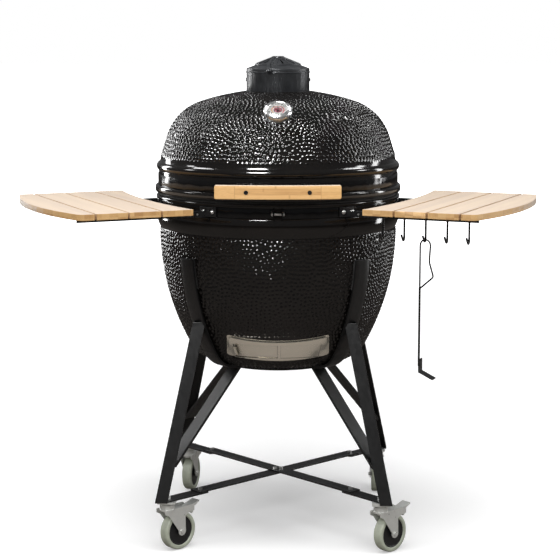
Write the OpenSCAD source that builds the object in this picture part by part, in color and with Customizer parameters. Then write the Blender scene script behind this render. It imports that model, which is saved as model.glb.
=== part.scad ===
// Kamado ceramic grill on a wheeled cart, with two side shelves.
// Millimetres. Origin: on the floor under the grill's own axis. +Z up, -Y is the front, +X is to the
// right as seen from the front. Every piece is drawn where it sits with the lid closed.

/* [Ceramic] */
// Wall thickness of the bowl
bowl_wall = 25; // [22:1:27]
// Wall thickness of the lid
lid_wall = 22; // [20:1:24]
// Radius of the hole at the top of the lid
chimney_r = 68; // [60:1:70]

/* [Bands and gaskets] */
// Thickness of one felt gasket
felt_t = 2.5; // [2:0.25:2.5]
// Thickness of the steel bands
band_t = 2; // [1.5:0.5:2]

/* [Handle] */
// Length of the wooden handle
handle_len = 292; // [260:2:300]
// Height of the wooden handle
handle_h = 31; // [26:1:33]

/* [Shelves] */
// Angle by which each shelf is swept towards the front
sweep = 24.2; // [20:0.1:28]
// Thickness of the slats
slat_t = 14; // [12:1:16]
// Gap between neighbouring slats
slat_gap = 5; // [2:0.5:6]
// Distance between neighbouring tool hooks
hook_pitch = 52.5; // [46:0.5:53]

/* [Cart] */
// Width of the cradle straps
strap_w = 46; // [40:1:48]
// Flange width of the leg angles
angle_w = 30; // [26:1:32]
// Turn of the cart about the grill's axis, anticlockwise as seen from above
cart_turn = -2.2; // [-4:0.1:4]
// Wheel radius
wheel_r = 47; // [44:0.5:47]

/* [Cooking parts] */
// Number of rods in the cooking grid
grid_rods = 27; // [19:2:29]
// Diameter of the grid rods
rod_d = 5; // [4:0.5:6]

/* [Hidden] */
$fa = 4;
$fs = 1;

black = [0.05, 0.05, 0.055];
glaze = [0.03, 0.03, 0.035];
cast = [0.16, 0.16, 0.165];
clay = [0.62, 0.55, 0.46];
wood = [0.80, 0.62, 0.38];
steel = [0.72, 0.72, 0.70];
felt = [0.12, 0.12, 0.12];
grey_tyre = [0.62, 0.65, 0.58];

// Parting plane between the two gaskets
part_z = 856;
// Heights of the ceramic rims
bowl_rim = part_z - felt_t;
lid_rim = part_z + felt_t;
// Radius of the ceramic under both bands, and radius of the bands' outside
seat_r = 297.5;
band_r = seat_r + band_t;
// Side arc of the bowl: centre, radius and the angle where the lower corner arc takes over
side_c = [-305.5, 765];
side_r = 600;
low_c = [151.5, 517];
low_r = 80;
low_a = -28.5;
// Crown and corner arcs of the lid
crown_c = [0, 490.1];
crown_r = 620;
turn_c = [152.2, 955.9];
turn_r = 130;
turn_top = 71.9;
turn_low = 18;
// Thermometer position on the corner arc of the lid, as the angle above level of its axis
gauge_a = 56;
// Bands: distance of the ears from the middle, lower edge of the base band, heights of the screws
ear_x = 10;
band_low = 820;
base_screw_z = 831.5;
lid_screw_z = 891;
// Handle: height of its axis, radius of its bow and place of its screws
handle_z = 887;
handle_bow = 900;
handle_screw_x = 73;
// Rear hinge axis
hinge_y = 345;
hinge_z = 860;
hinge_pin_r = 5;
// Running clearance on a radius
run = 0.05;
// Small overlap that keeps cuts clean
eps = 0.5;
// Shelves, in a frame whose x runs outwards along the shelf: distance of an arm from the shelf's axis,
// height of the slats' top, height of an arm and its two ends
arm_t = 162;
slat_top = 849;
arm_top = slat_top - slat_t;
arm_h = 15;
arm_in = 262;
arm_out = 576;
// Height of the bolts between arms and brackets, and their places along the arm
arm_bolt_z = arm_top - 8;
arm_bolts = [282, 296];
// Half width of a shelf, its inner edge on the axis and the gaps between the slats
slat_half = 253.6;
slat_in = 348;
slat_splits = [402, 481, 559];
// Half the angle between the two feet of a shelf on the band
foot_a = 32.5;
// Hooks: wire radius, bend radius, height of the bend's centre, swept angle, length of the tip, first place
hook_r = 2.5;
hook_turn = 5.5;
hook_z = 777;
hook_sweep = 140;
hook_tip = 16;
hook_first = 343;
// Cart
strap_gap = 5;
strap_t = 4;
strap_top = 713;
leg_top_z = 556;
leg_top_r = 281;
leg_low_z = 127;
leg_low_r = 405;
tab_t = 4;
// Gap left between seated parts that aren't joined
seat_gap = 0.03;
tab_bolt_r = 262;
brace_w = 36;
strut_w = 36;
cross_bolt_x = 7;
ring_z = 428;
stem_r = 5;
caster_x = 259;
trail = 33;
tyre_w = 26;
// Pin of the brake pedals, in the plane of the wheel
pedal_pin = [62, 96];
front_turn = 44;
// Top vent: wall, cap hinge and roof
vent_r = 78.5;
vent_top = 1155;
vent_axis_y = 87;
vent_axis_z = 1134;
roof_edge = 1162;
roof_slope = 0.38;
roof_in = 14;
// Turn of the vent's cover from fully open, closing the openings
wheel_turn = -15;
// Curved lever of the cover: radius of its curve and reach of its knob
lever_r = 119.6;
lever_reach = 86;
// Tilt of the draft frame's window and angle of the middle of the shut sheets behind it
draft_tilt = 20;
sheet_a = -103.5;
// Thermometer: height of the dial's seat above the ceramic and radius of dial and glass
dial_z = 5.5;
dial_r = 22.5;

// Angles about Z of the four shelf feet, and of the screws that hold feet, hinge and handle
foot_angles = [-sweep - foot_a, -sweep + foot_a, 180 + sweep + foot_a, 180 + sweep - foot_a];
hinge_screws = [80, 100];
handle_screws = [255.4, 284.6];
base_screws = concat([for (a = foot_angles, s = [-2.4, 2.4]) a + s], hinge_screws);

function arc(c, r, a0, a1, n) = [for (i = [0 : n]) let (a = a0 + (a1 - a0) * i / n)
    [c[0] + r * cos(a), c[1] + r * sin(a)]];
function back(list) = [for (i = [len(list) - 1 : -1 : 0]) list[i]];
// Side and bottom of the bowl at distance d outside its surface, from height z_top down to radius r_end
function bowl_line(d, z_top, r_end, n1 = 12, n2 = 8) = concat(
    arc(side_c, side_r + d, asin((z_top - side_c[1]) / (side_r + d)), low_a, n1),
    arc(low_c, low_r + d, low_a, -90, n2), [[r_end, low_c[1] - low_r - d]]);
// Dome of the lid at distance d outside its surface, from radius r_in outwards and down
function dome_line(d, r_in, n1 = 6, n2 = 14) = concat(
    arc(crown_c, crown_r + d, acos(r_in / (crown_r + d)), turn_top, n1),
    arc(turn_c, turn_r + d, turn_top, turn_low, n2),
    [[292 + d * cos(turn_low), 946 + d * sin(turn_low)]]);

// Rectangle w by h around the origin with corners of radius r
function round_rect(w, h, r) = let (x = w / 2 - r, y = h / 2 - r) concat(arc([x, y], r, 90, 0, 5),
    arc([x, -y], r, 0, -90, 5), arc([-x, -y], r, -90, -180, 5), arc([-x, y], r, 180, 90, 5));
// Height of the vent's roof at radius r
function roof(r) = roof_edge + (vent_r - r) * roof_slope;

module turn(points) {
    rotate_extrude($fn = 180) polygon(points);
}

// Part of a full turn about Z, centred on angle a and w degrees wide
module wedge(a, w, r, z0, z1) {
    translate([0, 0, z0]) linear_extrude(z1 - z0)
        polygon([[0, 0], [r * cos(a - w / 2) * 1.2, r * sin(a - w / 2) * 1.2],
            [r * cos(a) * 1.5, r * sin(a) * 1.5], [r * cos(a + w / 2) * 1.2, r * sin(a + w / 2) * 1.2]]);
}

module rod(p, q, r) {
    d = q - p;
    l = norm(d);
    translate(p) rotate([0, acos(d[2] / l), atan2(d[1], d[0])]) cylinder(r = r, h = l);
}

// ---------- Ceramic ----------

module bowl_solid() {
    outer = concat([[0, bowl_rim], [299, bowl_rim]], arc([299, bowl_rim - 5], 5, 75, 0, 4),
        [[304, 845], [seat_r, 843.5], [seat_r, 819.5], [299.2, 818]],
        arc([251.2, 800], 51.3, 20.5, -32.4, 8), bowl_line(0, 772, 0));
    turn(outer);
}

module bowl_hollow() {
    inner = concat([[0, bowl_rim + 5], [side_c[0] + side_r - bowl_wall, bowl_rim + 5]],
        bowl_line(-bowl_wall, 775, 0));
    turn(inner);
}

module bowl() {
    color(glaze) difference() {
        bowl_solid();
        bowl_hollow();
        draft_opening();
    }
}

// Air opening low in the front of the bowl, in its left half
module draft_opening() {
    translate([-104, -300, 474]) cube([94, 150, 34]);
}

module lid_solid() {
    turn(concat([[0, crown_c[1] + crown_r]], dome_line(0, 1), [[293, 938]],
        arc([291, 923], 12, 70, -70, 8), [[seat_r, 911], [seat_r, 877.5], [300, 877.5]],
        arc([300.5, 871.5], 6, 90, 0, 4), arc([300.5, lid_rim + 6], 6, 0, -90, 4), [[0, lid_rim]]));
}

module lid_hollow() {
    turn(concat([[0, crown_c[1] + crown_r - lid_wall]], dome_line(-lid_wall, 1),
        [[270, 930], [270, lid_rim - 5], [0, lid_rim - 5]]));
}

module at_gauge() {
    translate([0, -turn_c[0] - turn_r * cos(gauge_a), turn_c[1] + turn_r * sin(gauge_a)])
        rotate([90 - gauge_a, 0, 0]) children();
}

module lid() {
    color(glaze) difference() {
        lid_solid();
        lid_hollow();
        translate([0, 0, 1000]) cylinder(r = chimney_r, h = 200);
        at_gauge() translate([0, 0, -50]) cylinder(r = 5, h = 80);
    }
}

module firebox() {
    color(clay) difference() {
        turn([[0, 462], [150, 462], [176, 478], [222, 655], [198, 655], [158, 487], [0, 487]]);
        translate([-104, -230, 488]) cube([94, 120, 22]);
        for (a = [0 : 45 : 315]) rotate([0, 0, a + 22.5]) translate([150, 0, 585])
            rotate([0, 90, 0]) cylinder(r = 9, h = 90);
    }
}

module fire_ring() {
    color(clay) difference() {
        turn([[200, 655.2], [224, 655.2], [250, 792], [226, 792]]);
        for (a = [0 : 120 : 240]) rotate([0, 0, a + 90]) translate([210, -9, 784]) cube([60, 18, 20]);
    }
}

module charcoal_grate() {
    color(cast) difference() {
        translate([0, 0, 513]) cylinder(r = 164, h = 8);
        for (x = [-120 : 20 : 120]) grate_slots(x);
    }
}

// A row of slots in the grate, as long as the disc allows at that place
module grate_slots(x) {
    half = sqrt(148 * 148 - x * x);
    for (s = [-1, 1]) translate([x - 5, s > 0 ? 7 : -half, 510]) cube([10, half - 7, 14]);
}

module cooking_grid() {
    ring_r = 242;
    step = 2 * (ring_r - 8) / (grid_rods + 1);
    color(steel) union() {
        difference() {
            translate([0, 0, 792.2]) cylinder(r = ring_r, h = 7);
            translate([0, 0, 790]) cylinder(r = ring_r - 5, h = 12);
        }
        for (i = [1 : grid_rods]) grid_rod(-ring_r + 8 + i * step, ring_r - 2.5, 799.5);
        for (s = [-1, 1]) translate([-ring_r + 20, s * 95 - 3, 793]) cube([2 * ring_r - 40, 6, 5]);
    }
}

// One rod of the grid, let into the top of the ring
module grid_rod(x, r, z) {
    half = sqrt(r * r - x * x);
    translate([x, half, z]) rotate([90, 0, 0]) cylinder(r = rod_d / 2, h = 2 * half);
}

// ---------- Gaskets and bands ----------

module base_gasket() {
    color(felt) difference() {
        translate([0, 0, bowl_rim]) cylinder(r = 296, h = felt_t);
        translate([0, 0, bowl_rim - 1]) cylinder(r = 274, h = felt_t + 2);
    }
}

module lid_gasket() {
    color(felt) difference() {
        translate([0, 0, part_z]) cylinder(r = 296, h = felt_t);
        translate([0, 0, part_z - 1]) cylinder(r = 274, h = felt_t + 2);
    }
}

// Steel band between two heights with a split at the front and two bolted ears
module band(z0, z1) {
    difference() {
        union() {
            difference() {
                translate([0, 0, z0]) cylinder(r = band_r, h = z1 - z0, $fn = 180);
                translate([0, 0, z0 - 1]) cylinder(r = seat_r, h = z1 - z0 + 2, $fn = 180);
            }
            for (s = [-1, 1]) translate([s * ear_x - 1.5, -band_r - 16, z0]) cube([3, 18, z1 - z0]);
        }
        translate([1.6 - ear_x, -band_r - 20, z0 - 1]) cube([2 * ear_x - 3.2, 30, z1 - z0 + 2]);
        translate([-15, -band_r - 9, (z0 + z1) / 2]) rotate([0, 90, 0]) cylinder(r = 3.1, h = 30);
    }
}

// Radial bores from radius 280 outwards, at height z and the given angles
module radial_holes(angles, z, r, h) {
    for (b = angles) rotate([0, 0, b]) translate([280, 0, z]) rotate([0, 90, 0]) cylinder(r = r, h = h);
}

module base_band() {
    color(black) difference() {
        band(band_low, band_low + 23);
        radial_holes(base_screws, base_screw_z, 2.6, 40);
    }
}

module lid_band() {
    color(black) difference() {
        band(878, 904);
        radial_holes(concat(hinge_screws, handle_screws), lid_screw_z, 2.6, 40);
    }
}

// Round-headed screw pointing towards the axis, its head resting at radius r
module radial_screw(a, r, z, depth) {
    rotate([0, 0, a]) translate([r, 0, z]) rotate([0, 90, 0]) {
        translate([0, 0, -depth]) cylinder(r = 2.4, h = depth + 1);
        intersection() {
            translate([0, 0, -2.2]) sphere(r = 5.6, $fn = 32);
            cylinder(r = 6, h = 4);
        }
    }
}

// Bolt with a hexagon head and nut across the two ears of a band
module ear_bolt(z) {
    translate([-16, -band_r - 9, z]) rotate([0, 90, 0]) cylinder(r = 2.9, h = 32);
    for (s = [-1, 1]) translate([s * (ear_x + 3.5) - 2, -band_r - 9, z]) rotate([0, 90, 0])
        cylinder(r = 5.2, h = 4, $fn = 6);
}

module base_bolts() {
    color(steel) {
        for (b = base_screws) radial_screw(b, band_r + 3, base_screw_z, band_t + 2.9);
        ear_bolt(base_screw_z);
    }
}

module lid_bolts() {
    color(steel) {
        for (b = concat(hinge_screws, handle_screws)) radial_screw(b, band_r + 3, lid_screw_z, band_t + 2.9);
        ear_bolt(lid_screw_z);
        for (s = [-1, 1]) translate([s * handle_screw_x, -359.6, handle_z]) rotate([-90, 0, 0]) {
            cylinder(r = 4.8, h = 3.6);
            cylinder(r = 2.4, h = 29);
        }
    }
}

// ---------- Rear hinge ----------

module hinge_foot(z0, z1) {
    intersection() {
        difference() {
            translate([0, 0, z0]) cylinder(r = band_r + 3, h = z1 - z0, $fn = 180);
            translate([0, 0, z0 - 1]) cylinder(r = band_r, h = z1 - z0 + 2, $fn = 180);
        }
        wedge(90, 28, 320, z0 - 1, z1 + 1);
    }
}

// Arm of the hinge in the Y-Z plane, x0 to x1, from the foot to the pin
module hinge_arm(x0, x1, z0, z1) {
    difference() {
        union() {
            translate([x0, 0, 0]) rotate([90, 0, 90]) linear_extrude(x1 - x0)
                polygon([[300, z0], [hinge_y, hinge_z - 11], [hinge_y, hinge_z + 11], [300, z1]]);
            translate([x0, hinge_y, hinge_z]) rotate([0, 90, 0]) cylinder(r = 11, h = x1 - x0);
        }
        translate([0, 0, 700]) cylinder(r = band_r + 3 - eps, h = 300, $fn = 180);
        translate([-100, hinge_y, hinge_z]) rotate([0, 90, 0]) cylinder(r = hinge_pin_r, h = 200);
    }
}

module hinge_lid() {
    color(black) difference() {
        union() {
            hinge_foot(878, 904);
            for (s = [-1, 1]) hinge_arm(s * 39 - 5, s * 39 + 5, 880, 902);
        }
        radial_holes(hinge_screws, lid_screw_z, 2.5, 60);
    }
}

module hinge_base() {
    color(black) difference() {
        union() {
            hinge_foot(820, 843);
            for (s = [-1, 1]) hinge_arm(s * 27 - 4, s * 27 + 4, 821, 842);
            translate([-31, hinge_y, hinge_z]) rotate([0, 90, 0]) cylinder(r = 13, h = 62);
        }
        translate([-100, hinge_y, hinge_z]) rotate([0, 90, 0]) cylinder(r = hinge_pin_r + run, h = 200);
        translate([-26, hinge_y, hinge_z]) rotate([0, 90, 0]) cylinder(r = 10, h = 52);
        radial_holes(hinge_screws, base_screw_z, 2.5, 60);
    }
}

// Closely wound springs around the pin, inside the barrel
module hinge_springs() {
    wire = 1.2;
    color(steel) translate([-22 - wire, hinge_y, hinge_z]) rotate([0, 90, 0]) rotate_extrude($fn = 48)
        polygon(concat([[7, 0]], [for (i = [0 : 18], p = arc([8, wire * (2 * i + 1)], wire, -80, 80, 4)) p],
            [[7, 38 * wire]]));
}

module hinge_pin() {
    color(steel) {
        translate([-50, hinge_y, hinge_z]) rotate([0, 90, 0]) cylinder(r = hinge_pin_r, h = 100);
        for (s = [-1, 1]) translate([s * 46 - 2, hinge_y, hinge_z]) rotate([0, 90, 0]) cylinder(r = 8, h = 4);
    }
}

// ---------- Handle ----------

// Gently curved bar, its front face bowed towards the user
module lid_handle() {
    color(wood) difference() {
        intersection() {
            translate([0, handle_bow - 362, handle_z - handle_h / 2]) difference() {
                cylinder(r = handle_bow, h = handle_h, $fn = 360);
                translate([0, 0, -1]) cylinder(r = handle_bow - 22, h = handle_h + 2, $fn = 360);
            }
            translate([0, -280, handle_z]) rotate([90, 0, 0]) linear_extrude(120)
                polygon(round_rect(handle_len, handle_h, 4));
        }
        for (s = [-1, 1]) translate([s * handle_screw_x, -363, handle_z]) rotate([-90, 0, 0]) {
            cylinder(r = 5, h = 7);
            cylinder(r = 2.5, h = 40);
        }
    }
}

module handle_brackets() {
    color(black) difference() {
        union() {
            for (s = [-1, 1]) {
                intersection() {
                    difference() {
                        translate([0, 0, 880]) cylinder(r = band_r + 3, h = 22, $fn = 180);
                        translate([0, 0, 879]) cylinder(r = band_r, h = 24, $fn = 180);
                    }
                    wedge(270 + s * 14.6, 8, 320, 879, 903);
                }
                difference() {
                    translate([s * 62 - 2, -337, 880]) cube([4, 48, 22]);
                    translate([0, 0, 870]) cylinder(r = band_r + 2, h = 40, $fn = 180);
                }
                translate([s > 0 ? 60 : -84, -340, 880]) cube([24, 8, 22]);
            }
        }
        translate([0, handle_bow - 362, 870]) difference() {
            cylinder(r = 2000, h = 40);
            translate([0, 0, -1]) cylinder(r = handle_bow - 22, h = 42, $fn = 360);
        }
        for (s = [-1, 1]) translate([s * handle_screw_x, -363, handle_z]) rotate([-90, 0, 0])
            cylinder(r = 2.5, h = 40);
        radial_holes(handle_screws, lid_screw_z, 2.5, 26);
    }
}

// ---------- Thermometer ----------

module thermometer_case() {
    color(steel) difference() {
        at_gauge() union() {
            rotate_extrude($fn = 96) polygon(concat([[0, -8], [34.5, -8]],
                arc([24, 3], 10.5, 0, 70, 6), [[26.5, 13.4], [25, 13.5], [23.5, 12.5], [dial_r, 11],
                [dial_r, dial_z], [0, dial_z]]));
            translate([0, 0, -62]) cylinder(r = 4, h = 58);
        }
        lid_skin();
    }
}

// The ceramic around the thermometer, without the bore of its stem
module lid_skin() {
    difference() {
        lid_solid();
        at_gauge() translate([0, 0, -80]) cylinder(r = 5, h = 100);
    }
}

module thermometer_dial() {
    color([0.9, 0.88, 0.82]) at_gauge() translate([0, 0, dial_z]) {
        cylinder(r = dial_r, h = 1.4);
        cylinder(r = 0.95, h = 3.7);
    }
}

module thermometer_needle() {
    color([0.6, 0.08, 0.05]) at_gauge() translate([0, 0, dial_z + 1.9]) difference() {
        union() {
            cylinder(r = 2.6, h = 1.4);
            translate([0, 0, 0.3]) linear_extrude(0.8)
                polygon([[-1.5, -6.5], [1.5, -6.5], [1.1, 0], [0.4, 17], [-0.4, 17], [-1.1, 0]]);
        }
        translate([0, 0, -1]) cylinder(r = 0.95 + run, h = 4);
    }
}

module thermometer_glass() {
    color([0.85, 0.9, 0.92, 0.35]) at_gauge() translate([0, 0, dial_z + 4]) cylinder(r = dial_r, h = 1.5);
}

// ---------- Top vent ----------

module vent_base() {
    color(cast) difference() {
        union() {
            translate([0, 0, 1085]) cylinder(r = vent_r, h = vent_top - 1085 - 4, $fn = 120);
            translate([0, 0, vent_top - 4]) cylinder(r = vent_r + 1, h = 4, $fn = 120);
            for (s = [-1, 1]) translate([s * 9 - 2.5, vent_axis_y - 11, vent_axis_z - 5]) cube([5, 16, 10]);
        }
        translate([0, 0, 1050]) cylinder(r = vent_r - 7, h = 120, $fn = 120);
        lid_solid();
        translate([-20, vent_axis_y, vent_axis_z]) rotate([0, 90, 0]) cylinder(r = 2.5, h = 40);
        for (s = [0, 180]) rotate([0, 0, s]) translate([vent_r - 10, 0, vent_axis_z]) rotate([0, 90, 0])
            cylinder(r = 2.5, h = 20);
    }
}

// Hinge pin of the cap and a round-headed screw on each side of the wall
module vent_pins() {
    color(steel) {
        translate([-14, vent_axis_y, vent_axis_z]) rotate([0, 90, 0]) cylinder(r = 2.5, h = 28);
        for (s = [0, 180]) rotate([0, 0, s]) translate([vent_r + 0.1, 0, vent_axis_z]) rotate([0, 90, 0]) {
            translate([0, 0, -6]) cylinder(r = 2.45, h = 7);
            cylinder(r = 4, h = 2.4);
        }
    }
}

// Low conical roof with eight radial openings, on a hinge at the back of the wall
module vent_cap() {
    thick = 3.5;
    in_r = vent_r - 7.5;
    color(cast) difference() {
        union() {
            turn([[in_r, vent_top + 0.3], [vent_r, vent_top + 0.3], [vent_r, roof_edge],
                [roof_in, roof(roof_in)], [0, roof(roof_in)], [0, roof(roof_in) - thick],
                [roof_in, roof(roof_in) - thick], [in_r, roof(in_r) - thick]]);
            translate([-6, vent_axis_y - 5, vent_axis_z - 5]) cube([12, 10, 28]);
            translate([-6, vent_axis_y - 13, vent_top + 1]) cube([12, 18, 6]);
        }
        vent_openings(1140, 1200, 22, 52);
        translate([-20, vent_axis_y, vent_axis_z]) rotate([0, 90, 0]) cylinder(r = 2.5 + run, h = 40);
    }
}

module vent_openings(z0, z1, r0, r1) {
    for (a = [0 : 45 : 315]) rotate([0, 0, a + 22.5]) translate([0, 0, z0]) linear_extrude(z1 - z0)
        polygon([[r0, -3.5], [r1, -9], [r1 + 2, 0], [r1, 9], [r0, 3.5]]);
}

// Turning cover over the roof, with matching openings, a raised hub, low ribs and a lever
module vent_wheel() {
    out_r = 57;
    color(cast) rotate([0, 0, wheel_turn]) union() {
        difference() {
            union() {
                turn([[out_r, roof(out_r) + 0.3], [out_r, roof(out_r) + 2.3], [16, roof(16) + 2.3],
                    [15, roof(15) + 4.6], [13, roof(15) + 5.6], [0, roof(15) + 5.6],
                    [0, roof(roof_in) + 0.3], [roof_in, roof(roof_in) + 0.3]]);
                intersection() {
                    turn([[14, roof(14) + 1.5], [out_r - 2, roof(out_r - 2) + 1.5],
                        [out_r - 2, roof(out_r - 2) + 4], [14, roof(14) + 4]]);
                    for (a = [0 : 45 : 135]) rotate([0, 0, a]) translate([-70, -1.5, 1160]) cube([140, 3, 40]);
                }
            }
            vent_openings(1150, 1200, 24, 50);
        }
        vent_lever();
    }
}

// Lever that curves from the hub over the front rim and ends in a round knob
module vent_lever() {
    middle = lever_reach / 2;
    centre = sqrt(lever_r * lever_r - middle * middle);
    intersection() {
        turn([[13, roof(13) + 1], [79.2, roof(79.2) + 0.8], [81, 1158.5], [87, 1156.5], [87, 1161],
            [82.5, 1164.5], [79.5, 1167.3], [13, roof(13) + 5.2]]);
        difference() {
            translate([centre, -middle, 1140]) cylinder(r = lever_r + 3.5, h = 60, $fn = 180);
            translate([centre, -middle, 1139]) cylinder(r = lever_r - 3.5, h = 62, $fn = 180);
        }
        translate([-30, -lever_reach, 1140]) cube([60, lever_reach - 12, 60]);
    }
    translate([0, -lever_reach, 1158]) sphere(r = 6);
}

// ---------- Draft door ----------

// Lower front of the bowl's outline at distance d outside its surface
function draft_line(d) = concat(arc(side_c, side_r + d, -22, low_a, 4), arc(low_c, low_r + d, low_a, -62, 5));

// Layer between two distances outside the bowl's surface, w degrees wide around angle a, from z0 to z1
module draft_layer(d0, d1, a, w, z0, z1) {
    intersection() {
        turn(concat(draft_line(d1), back(draft_line(d0))));
        wedge(a, w, 330, z0, z1);
    }
}

// Front view window of the frame with rounded corners, tilted with the bowl's surface
module draft_window(w, h) {
    translate([0, -240, 489]) rotate([90 + draft_tilt, 0, 0]) translate([0, 0, -60]) linear_extrude(120)
        polygon(round_rect(w, h, 6));
}

// Flange and raised channel plate: the left half is open over the sheets, the right half has a shallow recess
module draft_frame() {
    color(steel) difference() {
        union() {
            intersection() {
                draft_layer(0.25, 1.6, -90, 80, 430, 550);
                draft_window(247, 62);
            }
            intersection() {
                draft_layer(0.8, 6.4, -90, 80, 430, 550);
                draft_window(236, 54);
            }
        }
        draft_layer(1.3, 5.2, -90, 56, 471, 511);
        draft_layer(4.6, 9, -103.25, 26.5, 474, 508);
        draft_layer(-3, 3, -104.5, 22, 478, 506);
        draft_layer(5.8, 9, -76.5, 24, 474, 508);
    }
}

module draft_door() {
    color(steel) union() {
        draft_layer(3.4, 4.8, sheet_a, 28.6, 471.4, 510.6);
        draft_layer(4.2, 14, -115, 1.2, 480, 502);
    }
}

module draft_screen() {
    color(steel) difference() {
        draft_layer(1.6, 2.8, sheet_a, 28.6, 471.4, 510.6);
        for (a = [-4 : 4], z = [480, 488, 496, 504]) rotate([0, 0, sheet_a + 2.2 * a]) translate([190, 0, z])
            rotate([0, 90, 0]) cylinder(r = 2.4, h = 80);
    }
}

// ---------- Shelves ----------

// Shelf frame: x runs outwards along the shelf's axis, y across it
module shelf(side) {
    if (side > 0) rotate([0, 0, -sweep]) children();
    else mirror([1, 0, 0]) rotate([0, 0, -sweep]) children();
}

// Full outline of a shelf: hollowed inner edge, bulged outer edge with rounded corners
module shelf_outline() {
    in_r = 1473;
    out_r = 824;
    in_a = asin(slat_half / in_r);
    out_c = 635 - out_r;
    fillet = 18;
    fx = out_c + sqrt(pow(out_r - fillet, 2) - pow(slat_half - fillet, 2));
    fa = asin((slat_half - fillet) / (out_r - fillet));
    polygon(concat(arc([slat_in - in_r, 0], in_r, in_a, -in_a, 10),
        arc([fx, fillet - slat_half], fillet, -90, -fa, 6), arc([out_c, 0], out_r, -fa, fa, 12),
        arc([fx, slat_half - fillet], fillet, fa, 90, 6)));
}

module slats() {
    difference() {
        translate([0, 0, arm_top]) linear_extrude(slat_t) shelf_outline();
        for (x = slat_splits) translate([x - slat_gap / 2, -300, arm_top - 1])
            cube([slat_gap, 600, slat_t + 2]);
        slat_screw_places() translate([0, 0, -1]) cylinder(r = 1.9, h = 10);
    }
}

module slat_screw_places() {
    for (t = [-1, 1], x = [374, 415, 457, 495, 535, 567]) translate([x, t * (arm_t - 13), arm_top]) children();
}

module right_slats() {
    color(wood) shelf(1) slats();
}

module left_slats() {
    color(wood) shelf(-1) slats();
}

// Angle-section arm under the slats
module arm(t) {
    difference() {
        union() {
            translate([arm_in + 14, t * arm_t - 1.5, arm_top - arm_h]) cube([arm_out - arm_in - 14, 3, arm_h]);
            translate([345, t > 0 ? arm_t - 21 : -arm_t, arm_top - 3]) cube([arm_out - 345, 21, 3]);
        }
        for (x = arm_bolts) translate([x, t * arm_t - 10, arm_bolt_z]) rotate([-90, 0, 0])
            cylinder(r = 2.5, h = 20);
        slat_screw_places() translate([0, 0, -8]) cylinder(r = 2.1, h = 10);
    }
}

module shelf_arms() {
    color(black) for (s = [-1, 1], t = [-1, 1]) shelf(s) arm(t);
}

// Foot on the band with a leg that runs along the arm
module bracket(t) {
    difference() {
        union() {
            intersection() {
                difference() {
                    translate([0, 0, band_low]) cylinder(r = band_r + 3, h = 23, $fn = 180);
                    translate([0, 0, band_low - 1]) cylinder(r = band_r + run, h = 25, $fn = 180);
                }
                wedge(t * foot_a, 9, 320, band_low - 1, band_low + 24);
            }
            difference() {
                translate([240, t * (arm_t + 3) - 1.5, band_low]) cube([66, 3, arm_h]);
                translate([0, 0, 800]) cylinder(r = band_r + 1, h = 60, $fn = 180);
            }
        }
        for (x = arm_bolts) translate([x, t * arm_t - 10, arm_bolt_z]) rotate([-90, 0, 0])
            cylinder(r = 2.5, h = 20);
        radial_holes([t * foot_a - 2.4, t * foot_a + 2.4], base_screw_z, 2.5, 24);
    }
}

module shelf_brackets() {
    color(black) for (s = [-1, 1], t = [-1, 1]) shelf(s) bracket(t);
}

// Screws under the slats and the small bolts between arms and brackets
module slat_screws() {
    color(steel) for (s = [-1, 1]) shelf(s) {
        slat_screw_places() {
            translate([0, 0, -5.5]) cylinder(r = 3.8, h = 2.5);
            translate([0, 0, -4]) cylinder(r = 1.85, h = 11);
        }
        for (t = [-1, 1], x = arm_bolts) translate([x, t * (arm_t + 1.5), arm_bolt_z]) rotate([90, 0, 0]) {
            translate([0, 0, -3.1]) cylinder(r = 2.4, h = 6.2);
            translate([0, 0, t > 0 ? 3 : -6]) cylinder(r = 4, h = 3);
        }
    }
}

// Round wire hook: straight shaft below the arm, a slightly thinned tight bend towards the front, a rising tip
module hook(x) {
    way = [0, -sin(hook_sweep), -cos(hook_sweep)];
    tip = [x, -arm_t - hook_turn + hook_turn * cos(hook_sweep), hook_z - hook_turn * sin(hook_sweep)];
    translate([x, -arm_t, hook_z - eps]) cylinder(r = hook_r, h = arm_top - arm_h - hook_z + eps);
    translate([x, -arm_t - hook_turn, hook_z]) rotate([0, -90, 0]) rotate([0, 0, 90])
        rotate_extrude(angle = hook_sweep) translate([hook_turn, 0]) circle(r = hook_r - 0.15);
    rod(tip - eps * way, tip + hook_tip * way, hook_r);
}

module tool_hooks() {
    color(black) shelf(1) for (k = [0 : 4]) hook(hook_first + k * hook_pitch);
}

// Ash tool on the middle hook: wire loop with one straight side, long rod and a bent scraper strip
module ash_tool() {
    wire = 2;
    half = 1.5;
    side = 12.5;
    top = hook_z - hook_turn + hook_r + wire + 0.8;
    path = concat(arc([0, -side], side, 0, 180, 12), [[-side, -116], [20.5, -87], [10, -52.5]]);
    color(black) shelf(1) translate([hook_first + 2 * hook_pitch + 1.5, -arm_t - hook_turn, top]) union() {
        rotate([90, 0, 0]) translate([0, 0, -half]) linear_extrude(2 * half) difference() {
            polygon(ring_side(path, -wire));
            polygon(ring_side(path, wire));
        }
        translate([-side, 0, -300]) cylinder(r = 2.6, h = 186);
        rotate([90, 0, 0]) translate([0, 0, -23]) linear_extrude(25)
            polygon([[-13.5, -284], [-11.5, -284], [-11.5, -313.2], [22.8, -328.9], [21.95, -330.7],
                [-13.5, -314.5]]);
    }
}

// Closed outline at distance d to the left of a closed path, with mitred corners
function unit(v) = v / norm(v);
function ring_side(p, d) = [for (i = [0 : len(p) - 1])
    let (u = unit(p[i] - p[(i + len(p) - 1) % len(p)]), v = unit(p[(i + 1) % len(p)] - p[i]), n = unit(u + v))
    p[i] + d / (u * n) * [-n[1], n[0]]];

// ---------- Cart ----------

// Solid of revolution that follows the bowl at distance d outside its surface
module bowl_offset(d) {
    turn(concat([[0, 760]], bowl_line(d, 760, 0)));
}

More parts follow.
